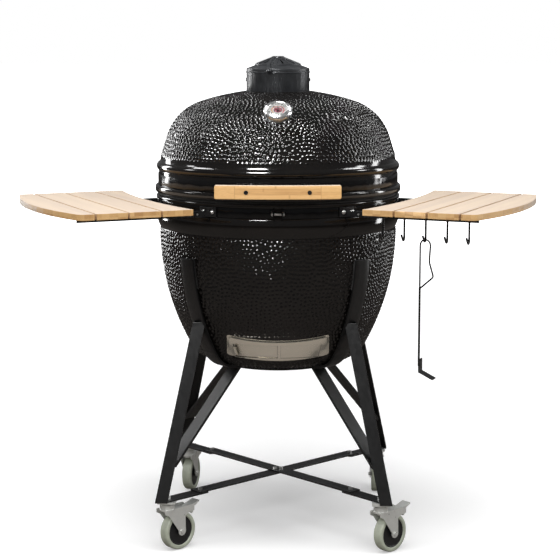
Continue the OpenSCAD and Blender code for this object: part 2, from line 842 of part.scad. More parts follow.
// Two crossing straps from height z0 to the straps' top, as wide as the cradle's
module strap_cross(z0) {
    for (a = [45, 135]) rotate([0, 0, a + cart_turn]) translate([-320, -strap_w / 2, z0])
        cube([640, strap_w, strap_top - z0]);
}

module cradle() {
    color(black) union() {
        intersection() {
            difference() {
                bowl_offset(strap_gap + strap_t);
                bowl_offset(strap_gap);
                cylinder(r = 120, h = 500);
            }
            strap_cross(400);
        }
        difference() {
            translate([0, 0, ring_z]) cylinder(r = 150, h = 4);
            translate([0, 0, ring_z - 1]) cylinder(r = 95, h = 6);
        }
    }
}

// Rubber pads between the bowl and the straps, at the top of each strap and under the bottom
module cradle_pads() {
    color(felt) {
        intersection() {
            difference() {
                bowl_offset(strap_gap);
                bowl_solid();
                translate([0, 0, 440]) cylinder(r = 400, h = 200);
                translate([0, 0, 400]) cylinder(r = 95, h = 100);
            }
            strap_cross(ring_z + 4);
        }
    }
}

// Leg frame: local x runs outwards along one diagonal of the cart
module at_leg(k) {
    rotate([0, 0, 45 + 90 * k + cart_turn]) children();
}

// Straight bar of the given section along the outer corner of a leg
module leg_bar(section) {
    tilt = atan((leg_low_r - leg_top_r) / (leg_top_z - leg_low_z));
    translate([leg_low_r, 0, leg_low_z]) rotate([0, -tilt, 0]) translate([0, 0, -60]) rotate([0, 0, 135])
        linear_extrude(600) polygon(section);
}

module leg() {
    difference() {
        leg_bar([[0, 0], [angle_w, 0], [angle_w, 3], [3, 3], [3, angle_w], [0, angle_w]]);
        translate([300, -100, 0]) cube([300, 200, leg_low_z]);
        translate([0, -100, leg_top_z]) cube([400, 200, 200]);
        bowl_offset(strap_gap + strap_t);
    }
}

// Tab between a leg's flanges and a brace bar, with the bores of the brace bolt and of the caster's stem
module leg_tab(z) {
    in_r = 250;
    half = brace_w / 2;
    corner = leg_low_r - 3.5;
    translate([0, 0, z]) difference() {
        linear_extrude(tab_t) polygon([[in_r, -half], [corner - half, -half], [corner, 0],
            [corner - half, half], [in_r, half]]);
        translate([tab_bolt_r, 0, -1]) cylinder(r = 3.2, h = tab_t + 2);
        translate([caster_x * sqrt(2), 0, -1]) cylinder(r = stem_r + 0.2, h = tab_t + 2);
    }
}

module legs() {
    color(black) for (k = [0 : 3]) at_leg(k) union() {
        leg();
        leg_tab(leg_low_z + tab_t * (k % 2));
    }
}

module struts() {
    color(black) for (k = [0 : 3]) at_leg(k) difference() {
        strut_bar();
        leg_bar([[-60, -60], [90, -60], [90, 3], [3, 3], [3, 90], [-60, 90]]);
        translate([0, 0, ring_z - seat_gap]) cylinder(r = 400, h = 40);
    }
}

// Flat bar from the bottom ring out and down to the leg; it ends on the leg's inner faces
module strut_bar() {
    p = [141, 432];
    q = [360, 207];
    a = atan2(q[1] - p[1], q[0] - p[0]);
    translate([p[0], 0, p[1]]) rotate([0, -a, 0]) translate([-8, -strut_w / 2, -3.5])
        cube([norm(q - p), strut_w, 7]);
}

// Cross brace: each bar joins the tabs of two opposite legs, one bar above the other
module brace(a, z) {
    rotate([0, 0, cart_turn]) difference() {
        rotate([0, 0, a]) translate([-278, -brace_w / 2, z]) cube([556, brace_w, tab_t]);
        for (s = [-1, 1]) rotate([0, 0, a]) translate([s * tab_bolt_r, 0, z - 1]) cylinder(r = 3.2, h = 6);
        for (s = [-1, 1]) translate([s * cross_bolt_x, 0, z - 1]) cylinder(r = 3.2, h = 6);
    }
}

module brace_bar_a() {
    color(black) brace(45, leg_low_z + tab_t);
}

module brace_bar_b() {
    color(black) brace(135, leg_low_z + 2 * tab_t);
}

module bolt(z0, z1) {
    translate([0, 0, z0 - 0.5]) cylinder(r = 3, h = z1 - z0 + 1);
    translate([0, 0, z1]) cylinder(r = 5.8, h = 4, $fn = 6);
    translate([0, 0, z0 - 4]) cylinder(r = 5.8, h = 4, $fn = 6);
}

module cart_bolts() {
    z = leg_low_z;
    color(steel) {
        for (k = [0 : 3], d = tab_t * (k % 2)) at_leg(k) translate([tab_bolt_r, 0, 0]) bolt(z + d, z + d + 8);
        for (s = [-1, 1]) rotate([0, 0, cart_turn]) translate([s * cross_bolt_x, 0, 0]) bolt(z + 4, z + 12);
    }
}

// ---------- Casters ----------

// Places of the four casters: side signs and the direction in which each one trails
caster_list = [[-1, -1, front_turn], [1, -1, front_turn], [-1, 1, 76], [1, 1, 88]];

module at_corner(c) {
    rotate([0, 0, cart_turn]) translate([c[0] * caster_x, c[1] * caster_x, 0]) children();
}

module at_caster(i) {
    at_corner(caster_list[i]) rotate([0, 0, caster_list[i][2] - cart_turn]) children();
}

// Top plate of a caster against the leg's tab, its pivot below and its threaded stem with a nut above
module caster_mounts() {
    color(steel) for (c = caster_list, lift = c[0] * c[1] < 0 ? tab_t : 0) at_corner(c) union() {
        translate([-22, -22, 123.6]) cube([44, 44, leg_low_z - 123.6 + lift - seat_gap]);
        translate([0, 0, 98]) cylinder(r = 6, h = 27);
        translate([0, 0, 97]) cylinder(r = 10, h = 6, $fn = 6);
        translate([0, 0, 119]) cylinder(r = 15, h = 5);
        translate([0, 0, 125]) cylinder(r = stem_r, h = leg_low_z + lift + tab_t + 9 - 125);
        translate([0, 0, leg_low_z + lift + tab_t + seat_gap]) cylinder(r = 8.5, h = 7, $fn = 6);
    }
}

// Side outline of a fork cheek: a leg down to the axle and an arm back to the pedal's pin
cheek_outline = concat([[-20, 108], [-20, 98], [-8, 92], [trail - 11, wheel_r + 3]],
    arc([trail, wheel_r], 11, 164, 376, 12), [[43, 84], [54, 90], [72, 92], [72, 101], [62, 108]]);

module fork() {
    cheek = tyre_w / 2 + 2.2;
    color(steel) difference() {
        union() {
            translate([0, 0, 104]) cylinder(r = 20, h = 4);
            translate([0, 0, 107]) cylinder(r = 18, h = 11.5);
            translate([-10, -cheek - 2.5, 104]) cube([50, 2 * cheek + 5, 4]);
            for (s = [-1, 1]) translate([0, s * (cheek + 1.25) + 1.25, 0]) rotate([90, 0, 0])
                linear_extrude(2.5) polygon(cheek_outline);
            translate([trail, cheek + 6, wheel_r]) rotate([90, 0, 0]) cylinder(r = 5, h = 2 * cheek + 12);
            translate([pedal_pin[0], cheek + 1, pedal_pin[1]]) rotate([90, 0, 0])
                cylinder(r = 3, h = 2 * cheek + 2);
        }
        translate([0, 0, 90]) cylinder(r = 6 + run, h = 40);
    }
}

module hub() {
    h = tyre_w / 2 - 1;
    color(black) translate([trail, 0, wheel_r]) rotate([90, 0, 0]) difference() {
        rotate_extrude($fn = 90) polygon([[0, -h], [10, -h], [10, -9], [32, -9], [33, -10], [36, -10],
            [36, 10], [33, 10], [32, 9], [10, 9], [10, h], [0, h]]);
        translate([0, 0, -30]) cylinder(r = 5 + run, h = 60);
    }
}

module tyre() {
    h = tyre_w / 2;
    color(grey_tyre) translate([trail, 0, wheel_r]) rotate([90, 0, 0]) rotate_extrude($fn = 90)
        polygon(concat([[36, -10], [36, 10], [38, h]], arc([wheel_r - 5, h - 5], 5, 80, 10, 4), [[wheel_r, 0]],
            arc([wheel_r - 5, 5 - h], 5, -10, -80, 4), [[38, -h]]));
}

// Brake pedal on the fork's cross pin: tread plate outwards, shoe down towards the tyre
module pedal() {
    w = tyre_w / 2;
    color(steel) translate([pedal_pin[0], w, pedal_pin[1]]) rotate([90, 0, 0]) difference() {
        linear_extrude(2 * w) polygon([[-7, -1], [-6, 5], [0, 7], [8, 10], [30, 17], [31, 14], [12, 4],
            [10, -10], [6, -12], [3, -6]]);
        translate([0, 0, -1]) cylinder(r = 3 + run, h = 2 * w + 2);
    }
}

module fork_front_left() { at_caster(0) fork(); }
module fork_front_right() { at_caster(1) fork(); }
module fork_back_left() { at_caster(2) fork(); }
module fork_back_right() { at_caster(3) fork(); }
module hub_front_left() { at_caster(0) hub(); }
module hub_front_right() { at_caster(1) hub(); }
module hub_back_left() { at_caster(2) hub(); }
module hub_back_right() { at_caster(3) hub(); }
module tyre_front_left() { at_caster(0) tyre(); }
module tyre_front_right() { at_caster(1) tyre(); }
module tyre_back_left() { at_caster(2) tyre(); }
module tyre_back_right() { at_caster(3) tyre(); }
module pedal_left() { at_caster(0) pedal(); }
module pedal_right() { at_caster(1) pedal(); }

bowl();
base_gasket();
base_band();
base_bolts();
firebox();
fire_ring();
charcoal_grate();
cooking_grid();
draft_frame();
draft_door();
draft_screen();
hinge_base();
hinge_springs();
shelf_brackets();
shelf_arms();
right_slats();
left_slats();
slat_screws();
tool_hooks();
ash_tool();
cradle();
cradle_pads();
legs();
struts();
brace_bar_a();
brace_bar_b();
cart_bolts();
caster_mounts();
lid();
lid_gasket();
lid_band();
lid_bolts();
hinge_lid();
hinge_pin();
lid_handle();
handle_brackets();
thermometer_case();
thermometer_dial();
thermometer_needle();
thermometer_glass();
vent_base();
vent_pins();
vent_cap();
vent_wheel();
fork_front_left();
fork_front_right();
fork_back_left();
fork_back_right();
hub_front_left();
hub_front_right();
hub_back_left();
hub_back_right();
tyre_front_left();
tyre_front_right();
tyre_back_left();
tyre_back_right();
pedal_left();
pedal_right();
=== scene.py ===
"""Looks of the kamado grill: pebbled glaze, bamboo, powder-coated and plated steel, in a pale studio."""
import math
import random

import bpy
import numpy as np
from mathutils import Matrix, Vector, kdtree


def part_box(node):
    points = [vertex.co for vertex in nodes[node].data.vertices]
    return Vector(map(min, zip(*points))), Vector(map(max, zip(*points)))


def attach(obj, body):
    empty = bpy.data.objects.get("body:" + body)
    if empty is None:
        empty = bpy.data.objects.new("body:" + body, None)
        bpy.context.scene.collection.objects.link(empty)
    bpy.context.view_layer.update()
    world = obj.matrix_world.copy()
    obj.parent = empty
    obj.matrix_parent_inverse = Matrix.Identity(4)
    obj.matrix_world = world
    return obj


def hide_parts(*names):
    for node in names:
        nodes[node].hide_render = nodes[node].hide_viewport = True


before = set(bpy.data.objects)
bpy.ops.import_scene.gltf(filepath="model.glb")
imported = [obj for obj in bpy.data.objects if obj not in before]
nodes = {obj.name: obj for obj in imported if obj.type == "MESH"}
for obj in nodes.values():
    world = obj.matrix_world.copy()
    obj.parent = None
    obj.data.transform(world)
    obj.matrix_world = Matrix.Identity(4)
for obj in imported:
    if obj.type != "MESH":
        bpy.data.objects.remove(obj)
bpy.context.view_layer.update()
MM = 0.001


# ---------- Sizes, in metres ----------

# Ceramic profiles: (radius, height) centres and radii of their arcs, degrees where arcs meet, walls, heights
# of the rims and of the end of the bowl's pebbled side, and the hole left round the axis
BOWL_SIDE = ((-0.3055, 0.765), 0.600)
BOWL_SIDE_TOP = 0.772
BOWL_CORNER = ((0.1515, 0.517), 0.080)
BOWL_CORNER_START = -28.5
BOWL_BULGE = ((0.2512, 0.800), 0.0513)
BOWL_WALL = 0.025
BOWL_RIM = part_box("base_gasket")[0].z
LID_CROWN = ((0.0, 0.4901), 0.620)
LID_TURN = ((0.1522, 0.9559), 0.130)
LID_TURN_TOP = 71.9
LID_TURN_LOW = 18.0
LID_BULGE = ((0.291, 0.923), 0.012)
LID_WALL = 0.022
LID_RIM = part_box("lid_gasket")[1].z
CHIMNEY_R = 0.068
SEAT_R = 0.2975
AXIS_GAP = 0.0005
# Radii where the lid turns from smooth, round the foot of the vent, to pebbled
VENT_FADE = (0.0795, 0.0815)
# Edges of the ceramic that turn more sharply than this many degrees look crisp
CERAMIC_SHARP = 40

# Pebbled relief of the glaze: spacing of the pebbles, their radius and height, and the dip between them
PITCH = 0.0113
PEBBLE_R = 0.0050
PEBBLE_H = 0.0024
PEBBLE_SINK = 0.0003
# Width of the strip at the relief's borders in which it rises
PEBBLE_FADE = 0.004
# Rows of pebbles and chance shifts along and across them, as shares of the spacing
ROW_SHARE = 0.87
JITTER = 0.42
# Passes that push pebbles apart, and the share of the missing gap that one pass adds
PUSH_PASSES = 5
PUSH_SHARE = 0.3
# Mesh of the relief: step along the profile and points round the axis
GRID_STEP = 0.0017
FINE_TURN = 1080
BOWL_SEED = 11
LID_SEED = 29

# Thermometer: angle of its axis above level, its centre on the lid, and the radius round it that stays smooth
GAUGE_ANGLE = 56.0
GAUGE_PLACE = Vector((0, -LID_TURN[0][0] - LID_TURN[1] * math.cos(math.radians(GAUGE_ANGLE)),
                      LID_TURN[0][1] + LID_TURN[1] * math.sin(math.radians(GAUGE_ANGLE))))
GAUGE_CLEAR = 0.0355
# Its dial: radii of the centre, of the warm arc and of the marks, the scale's reach to either side in
# half turns, and the number of marks in a half turn
DIAL_HEART = 0.0105
DIAL_ARC = (0.0130, 0.0158)
DIAL_MARKS = (0.0170, 0.0205)
DIAL_SWEEP = 0.76
DIAL_BEATS = 18

# Side shelves: sweep towards the front
SWEEP = 24.2
# Ash tool in the right shelf's frame: top of its loop, wire radii, half width of the loop's arch
TOOL_PLACE = (0.4495, -0.1675, 0.7768)
TOOL_WIRE = 0.0020
TOOL_ROD = 0.0026
TOOL_SIDE = 0.0125

# Studio: camera place, tilt below level in degrees, lens and sensor in mm, floor width, points aimed at
CAMERA_PLACE = (0.005, -4.0518, 1.2503)
CAMERA_TILT = 8.70
CAMERA_LENS = 104.1
CAMERA_SENSOR = 36
FLOOR_WIDTH = 120
CARD_TARGET = (0, 0, 0.8)
LAMP_TARGET = (0, 0, 0.7)


# ---------- Node helpers ----------

def new_material(name):
    """A material with its node tree and Principled shader."""
    material = bpy.data.materials.new(name)
    material.use_nodes = True
    tree = material.node_tree
    return material, tree, tree.nodes["Principled BSDF"]


def add(tree, kind, **settings):
    node = tree.nodes.new("ShaderNode" + kind)
    for key, value in settings.items():
        setattr(node, key, value)
    return node


def put(tree, socket, value):
    """Sets a socket to a number or a colour, or links it to another socket."""
    if isinstance(value, bpy.types.NodeSocket):
        tree.links.new(value, socket)
    elif isinstance(value, tuple) and len(value) == 3 and socket.type == "RGBA":
        socket.default_value = (*value, 1.0)
    else:
        socket.default_value = value


def place(tree, scale=(1, 1, 1), turn=(0, 0, 0), shift=(0, 0, 0), inverse=False):
    """Object coordinates, scaled, turned and shifted; with inverse, as seen from a frame placed that way."""
    source = add(tree, "TexCoord").outputs["Object"]
    mapping = add(tree, "Mapping", vector_type="TEXTURE" if inverse else "POINT")
    put(tree, mapping.inputs["Vector"], source)
    mapping.inputs["Location"].default_value = shift
    mapping.inputs["Rotation"].default_value = [math.radians(a) for a in turn]
    mapping.inputs["Scale"].default_value = scale
    return mapping.outputs["Vector"]


def noise(tree, vector, scale, detail=3.0, roughness=0.5, distortion=0.0):
    node = add(tree, "TexNoise")
    put(tree, node.inputs["Vector"], vector)
    node.inputs["Scale"].default_value = scale
    node.inputs["Detail"].default_value = detail
    node.inputs["Roughness"].default_value = roughness
    node.inputs["Distortion"].default_value = distortion
    return node.outputs["Fac"]


def ramp(tree, factor, *stops):
    """Colour ramp through (place, colour) stops; a number stands for a grey."""
    node = add(tree, "ValToRGB")
    put(tree, node.inputs["Fac"], factor)
    elements = node.color_ramp.elements
    while len(elements) < len(stops):
        elements.new(0.5)
    for element, (where, colour) in zip(elements, stops):
        element.position = where
        element.color = (colour, colour, colour, 1) if isinstance(colour, (int, float)) else (*colour, 1)
    return node.outputs["Color"]


def spread(tree, factor, low, high, start=0.0, end=1.0):
    """Maps a factor from start..end to low..high, clamped."""
    node = add(tree, "MapRange")
    put(tree, node.inputs["Value"], factor)
    node.inputs["From Min"].default_value = start
    node.inputs["From Max"].default_value = end
    node.inputs["To Min"].default_value = low
    node.inputs["To Max"].default_value = high
    return node.outputs["Result"]


def maths(tree, operation, a, b=0.0, c=0.0):
    node = add(tree, "Math", operation=operation)
    for socket, value in zip(node.inputs, (a, b, c)):
        put(tree, socket, value)
    return node.outputs["Value"]


def mix(tree, factor, a, b, blend="MIX"):
    node = add(tree, "Mix", data_type="RGBA", blend_type=blend)
    put(tree, node.inputs["Factor"], factor)
    put(tree, node.inputs["A"], a)
    put(tree, node.inputs["B"], b)
    return node.outputs["Result"]


def bump(tree, shader, height, strength, distance, rounding=0.0):
    """Fine relief; with rounding, edges are also shaded as if they had this radius."""
    node = add(tree, "Bump")
    if rounding:
        bevel = add(tree, "Bevel", samples=6)
        bevel.inputs["Radius"].default_value = rounding
        put(tree, node.inputs["Normal"], bevel.outputs["Normal"])
    node.inputs["Strength"].default_value = strength
    node.inputs["Distance"].default_value = distance
    put(tree, node.inputs["Height"], height)
    put(tree, shader.inputs["Normal"], node.outputs["Normal"])


def split(tree, vector):
    node = add(tree, "SeparateXYZ")
    put(tree, node.inputs["Vector"], vector)
    return node.outputs


def edges(tree, radius=0.0012):
    """1 where an edge is near, 0 on open faces, for worn edges."""
    bevel = add(tree, "Bevel", samples=4)
    bevel.inputs["Radius"].default_value = radius
    geometry = add(tree, "NewGeometry")
    dot = add(tree, "VectorMath", operation="DOT_PRODUCT")
    put(tree, dot.inputs[0], bevel.outputs["Normal"])
    put(tree, dot.inputs[1], geometry.outputs["Normal"])
    return spread(tree, dot.outputs["Value"], 1.0, 0.0, 0.80, 0.995)


# ---------- Materials ----------

def glazed_ceramic():
    material, tree, shader = new_material("glazed_ceramic")
    here = place(tree)
    cloud = noise(tree, here, 14, 4)
    put(tree, shader.inputs["Base Color"], ramp(tree, cloud, (0.3, (0.0032, 0.0028, 0.0026)),
                                                (0.7, (0.0062, 0.0052, 0.0046))))
    put(tree, shader.inputs["Roughness"], spread(tree, noise(tree, here, 60, 3), 0.07, 0.13, 0.3, 0.7))
    bump(tree, shader, noise(tree, here, 260, 2), 0.08, 0.0006)
    return material


def bare_ceramic():
    """Inside of bowl and lid: matt dark clay with a little soot."""
    material, tree, shader = new_material("bare_ceramic")
    here = place(tree)
    soot = noise(tree, here, 9, 6, 0.6)
    body = ramp(tree, soot, (0.3, (0.030, 0.027, 0.024)), (0.7, (0.085, 0.074, 0.062)))
    put(tree, shader.inputs["Base Color"], body)
    put(tree, shader.inputs["Roughness"], spread(tree, noise(tree, here, 40, 4), 0.55, 0.85, 0.3, 0.7))
    bump(tree, shader, noise(tree, here, 420, 4), 0.35, 0.0008)
    return material


def felt():
    material, tree, shader = new_material("felt")
    here = place(tree)
    fibre = noise(tree, here, 900, 5, 0.7, 1.5)
    put(tree, shader.inputs["Base Color"], ramp(tree, fibre, (0.3, (0.006, 0.006, 0.006)),
                                                (0.75, (0.028, 0.027, 0.026))))
    put(tree, shader.inputs["Roughness"], spread(tree, fibre, 0.85, 1.0))
    shader.inputs["Sheen Weight"].default_value = 0.3
    bump(tree, shader, fibre, 0.8, 0.0008)
    return material


def coated_steel(name, base, rough_low, rough_high, grain=700.0, shine=0.5):
    """Powder-coated steel: fine orange peel, edges polished a little lighter."""
    material, tree, shader = new_material(name)
    here = place(tree)
    cloud = noise(tree, here, 22, 5, 0.6)
    dark = tuple(c * 0.75 for c in base)
    light = tuple(c * 1.35 for c in base)
    body = ramp(tree, cloud, (0.3, dark), (0.7, light))
    worn = mix(tree, maths(tree, "MULTIPLY", edges(tree), 0.35), body, tuple(c * 3.0 + 0.01 for c in base))
    shader.inputs["Specular IOR Level"].default_value = shine
    put(tree, shader.inputs["Base Color"], worn)
    haze = noise(tree, here, 130, 4)
    put(tree, shader.inputs["Roughness"], spread(tree, haze, rough_low, rough_high, 0.3, 0.7))
    bump(tree, shader, noise(tree, here, grain, 2), 0.18, 0.0004)
    return material


def plated(name, colour, rough_low, rough_high, metal=1.0):
    """Bright zinc: small grey spangles and handling marks."""
    material, tree, shader = new_material(name)
    here = place(tree)
    cells = add(tree, "TexVoronoi", feature="F1")
    put(tree, cells.inputs["Vector"], here)
    cells.inputs["Scale"].default_value = 240
    cloud = noise(tree, here, 55, 6, 0.65)
    spangle = add(tree, "RGBToBW")
    put(tree, spangle.inputs["Color"], cells.outputs["Color"])
    tone = maths(tree, "MULTIPLY_ADD", spangle.outputs["Val"], 0.2, maths(tree, "MULTIPLY", cloud, 0.9))
    body = ramp(tree, tone, (0.25, tuple(c * 0.84 for c in colour)), (0.85, colour))
    put(tree, shader.inputs["Base Color"], body)
    shader.inputs["Metallic"].default_value = metal
    put(tree, shader.inputs["Roughness"], spread(tree, tone, rough_low, rough_high, 0.2, 0.9))
    bump(tree, shader, cloud, 0.06, 0.0003)
    return material


def fireclay():
    material, tree, shader = new_material("fireclay")
    here = place(tree)
    cloud = noise(tree, here, 16, 6, 0.65)
    body = ramp(tree, cloud, (0.3, (0.30, 0.245, 0.185)), (0.72, (0.47, 0.40, 0.32)))
    specks = ramp(tree, noise(tree, here, 520, 2), (0.60, 1.0), (0.68, 0.45))
    put(tree, shader.inputs["Base Color"], mix(tree, 1.0, body, specks, "MULTIPLY"))
    put(tree, shader.inputs["Roughness"], spread(tree, noise(tree, here, 90, 3), 0.8, 0.97))
    bump(tree, shader, noise(tree, here, 330, 6, 0.7), 0.5, 0.0012)
    return material


def cast_metal(name, colour, rough_low, rough_high, relief):
    """Sand-cast iron or alloy under a thin dark paint."""
    material, tree, shader = new_material(name)
    here = place(tree)
    cloud = noise(tree, here, 36, 6, 0.65)
    body = ramp(tree, cloud, (0.3, tuple(c * 0.7 for c in colour)), (0.7, tuple(c * 1.3 for c in colour)))
    worn = mix(tree, maths(tree, "MULTIPLY", edges(tree, 0.0015), 0.4), body, tuple(c * 2.4 for c in colour))
    put(tree, shader.inputs["Base Color"], worn)
    shader.inputs["Metallic"].default_value = 0.35
    put(tree, shader.inputs["Roughness"], spread(tree, cloud, rough_low, rough_high, 0.3, 0.7))
    bump(tree, shader, noise(tree, here, 380, 5, 0.6), relief, 0.0008)
    return material


def brushed_steel(name, colour, rough_low, rough_high, stretch):
    """Steel with painted shade in its nooks and recesses, and fine lines along the direction in which stretch
    has its smallest scale.
    """
    material, tree, shader = new_material(name)
    lines = noise(tree, place(tree, scale=stretch), 60, 6, 0.7)
    cloud = noise(tree, place(tree), 18, 4)
    tone = maths(tree, "MULTIPLY_ADD", lines, 0.5, maths(tree, "MULTIPLY", cloud, 0.5))
    body = ramp(tree, tone, (0.3, tuple(c * 0.94 for c in colour)), (0.7, colour))
    # Painted shade: ambient occlusion darkens the colour towards a dark brown-grey in nooks and recesses.
    painted_shade_ao = add(tree, "AmbientOcclusion", samples=8)
    painted_shade_ao.inputs["Distance"].default_value = 0.012
    painted_shade = spread(tree, painted_shade_ao.outputs["AO"], 0.05, 1.0, 0.45, 0.95)
    put(tree, shader.inputs["Base Color"], mix(tree, painted_shade, (0.05, 0.045, 0.04), body))
    shader.inputs["Metallic"].default_value = 0.85
    put(tree, shader.inputs["Roughness"], spread(tree, lines, rough_low, rough_high, 0.3, 0.7))
    bump(tree, shader, lines, 0.04, 0.0003)
    return material


def bamboo(name, turn, strip=0.0195, layer=0.014, fibres_along="Y", warmth=1.0, light=1.0):
    """Laminated bamboo: strips of differing tone, fibres along them and a darker band at each node.
    warmth deepens the colour and light scales its brightness. Faces seen at a flat angle are painted paler, a
    painted sheen that stands in for the varnish's reflection."""
    material, tree, shader = new_material(name)
    if fibres_along == "X":
        turn = (turn[0], turn[1], turn[2] + 90)
    here = place(tree, turn=turn)
    x, y, z = split(tree, here)
    column = maths(tree, "FLOOR", maths(tree, "DIVIDE", x, strip))
    storey = maths(tree, "FLOOR", maths(tree, "DIVIDE", z, layer))
    key = add(tree, "CombineXYZ")
    put(tree, key.inputs[0], column)
    put(tree, key.inputs[1], storey)
    chance = add(tree, "TexWhiteNoise", noise_dimensions="3D")
    put(tree, chance.inputs["Vector"], key.outputs["Vector"])
    own = chance.outputs["Value"]
    slide = maths(tree, "MULTIPLY", own, 3.7)
    fibre_place = add(tree, "CombineXYZ")
    put(tree, fibre_place.inputs[0], maths(tree, "MULTIPLY", x, 420))
    put(tree, fibre_place.inputs[1], maths(tree, "MULTIPLY", maths(tree, "ADD", y, slide), 9))
    put(tree, fibre_place.inputs[2], maths(tree, "MULTIPLY", z, 420))
    fibres = noise(tree, fibre_place.outputs["Vector"], 1.6, 5, 0.6)
    flow_place = add(tree, "CombineXYZ")
    put(tree, flow_place.inputs[0], maths(tree, "MULTIPLY", x, 60))
    put(tree, flow_place.inputs[1], maths(tree, "MULTIPLY", maths(tree, "ADD", y, slide), 4))
    put(tree, flow_place.inputs[2], z)
    flow = noise(tree, flow_place.outputs["Vector"], 1.0, 3)
    tone = maths(tree, "ADD", maths(tree, "MULTIPLY", fibres, 0.45),
                 maths(tree, "ADD", maths(tree, "MULTIPLY", own, 0.28), maths(tree, "MULTIPLY", flow, 0.3)))
    body = ramp(tree, tone, (0.28, (0.40, 0.23, 0.10)), (0.50, (0.56, 0.36, 0.17)),
                (0.78, (0.68, 0.48, 0.26)))
    along = maths(tree, "FRACT", maths(tree, "DIVIDE", maths(tree, "ADD", y, slide), 0.26))
    ring = spread(tree, maths(tree, "ABSOLUTE", maths(tree, "SUBTRACT", along, 0.5)), 0.55, 0.0, 0.0, 0.012)
    body = mix(tree, ring, body, (0.36, 0.19, 0.075))
    across = maths(tree, "FRACT", maths(tree, "DIVIDE", x, strip))
    side = maths(tree, "ABSOLUTE", maths(tree, "SUBTRACT", across, 0.5))
    glue = spread(tree, side, 0.0, 0.45, 0.485, 0.498)
    body = mix(tree, glue, body, (0.33, 0.175, 0.07))
    # Painted sheen: faces seen at a flat angle are mixed towards a pale grey, standing in for the varnish's
    # reflection.
    sheen_facing = add(tree, "LayerWeight")
    sheen_facing.inputs["Blend"].default_value = 0.5
    painted_sheen = spread(tree, sheen_facing.outputs["Facing"], 0.0, 0.62, 0.62, 0.86)
    tint = (light, light * 0.93 ** warmth, light * 0.80 ** warmth)
    body = mix(tree, 1.0, body, tint, "MULTIPLY")
    put(tree, shader.inputs["Base Color"], mix(tree, painted_sheen, body, (0.66, 0.61, 0.56)))
    put(tree, shader.inputs["Roughness"], spread(tree, fibres, 0.52, 0.66, 0.3, 0.7))
    shader.inputs["Specular IOR Level"].default_value = 0.3
    bump(tree, shader, fibres, 0.25, 0.0004, 0.0022)
    return material


def rubber(name, colour, rough_low, rough_high, relief=0.3):
    material, tree, shader = new_material(name)
    here = place(tree)
    cloud = noise(tree, here, 45, 6, 0.65)
    body = ramp(tree, cloud, (0.3, tuple(c * 0.82 for c in colour)), (0.7, tuple(c * 1.1 for c in colour)))
    scuffs = spread(tree, noise(tree, here, 230, 3), 0.0, 0.25, 0.6, 0.75)
    put(tree, shader.inputs["Base Color"], mix(tree, scuffs, body, tuple(c * 0.45 for c in colour)))
    put(tree, shader.inputs["Roughness"], spread(tree, cloud, rough_low, rough_high, 0.3, 0.7))
    bump(tree, shader, noise(tree, here, 600, 3), relief, 0.0004)
    return material


def chrome():
    material, tree, shader = new_material("bright_chrome")
    here = place(tree)
    haze = noise(tree, here, 70, 5, 0.6)
    body = ramp(tree, haze, (0.3, (0.80, 0.80, 0.80)), (0.7, (0.93, 0.93, 0.92)))
    put(tree, shader.inputs["Base Color"], body)
    shader.inputs["Metallic"].default_value = 1.0
    put(tree, shader.inputs["Roughness"], spread(tree, haze, 0.24, 0.34, 0.3, 0.7))
    bump(tree, shader, noise(tree, here, 220, 2), 0.03, 0.0003)
    return material


def between(tree, value, low, high):
    """1 where a value lies between low and high, else 0."""
    above = maths(tree, "GREATER_THAN", value, low)
    below = maths(tree, "LESS_THAN", value, high)
    return maths(tree, "MULTIPLY", above, below)


def dial_paint():
    """Grey dial with a ring of plain scale marks, a warm-coloured arc and a dark red centre."""
    material, tree, shader = new_material("dial_paint")
    here = place(tree, turn=(90 - GAUGE_ANGLE, 0, 0), shift=tuple(GAUGE_PLACE), inverse=True)
    x, y, _ = split(tree, here)
    x_squared = maths(tree, "MULTIPLY", x, x)
    y_squared = maths(tree, "MULTIPLY", y, y)
    radius = maths(tree, "SQRT", maths(tree, "ADD", x_squared, y_squared))
    turn = maths(tree, "DIVIDE", maths(tree, "ARCTAN2", x, y), math.pi)
    paper = ramp(tree, noise(tree, here, 300, 3), (0.3, (0.30, 0.29, 0.28)), (0.7, (0.37, 0.36, 0.35)))
    part = maths(tree, "FRACT", maths(tree, "MULTIPLY", turn, DIAL_BEATS))
    beat = maths(tree, "ABSOLUTE", maths(tree, "SUBTRACT", part, 0.5))
    in_sweep = maths(tree, "LESS_THAN", maths(tree, "ABSOLUTE", turn), DIAL_SWEEP)
    in_ring = maths(tree, "MULTIPLY", between(tree, radius, *DIAL_MARKS), in_sweep)
    marks = maths(tree, "MULTIPLY", maths(tree, "LESS_THAN", beat, 0.10), in_ring)
    body = mix(tree, marks, paper, (0.02, 0.02, 0.02))
    band = between(tree, radius, *DIAL_ARC)
    along = spread(tree, turn, 0.0, 1.0, -DIAL_SWEEP, DIAL_SWEEP)
    warm = ramp(tree, along, (0.0, (0.36, 0.20, 0.10)), (0.45, (0.30, 0.06, 0.05)), (1.0, (0.20, 0.02, 0.03)))
    body = mix(tree, maths(tree, "MULTIPLY", band, in_sweep), body, warm)
    heart = maths(tree, "LESS_THAN", radius, DIAL_HEART)
    body = mix(tree, heart, body, (0.16, 0.035, 0.05))
    put(tree, shader.inputs["Base Color"], body)
    put(tree, shader.inputs["Roughness"], spread(tree, noise(tree, here, 500, 2), 0.35, 0.5))
    return material


def needle_paint():
    material, tree, shader = new_material("needle_paint")
    here = place(tree)
    put(tree, shader.inputs["Base Color"], ramp(tree, noise(tree, here, 400, 3), (0.3, (0.012, 0.01, 0.01)),
                                                (0.7, (0.03, 0.02, 0.02))))
    put(tree, shader.inputs["Roughness"], spread(tree, noise(tree, here, 700, 2), 0.3, 0.45))
    return material


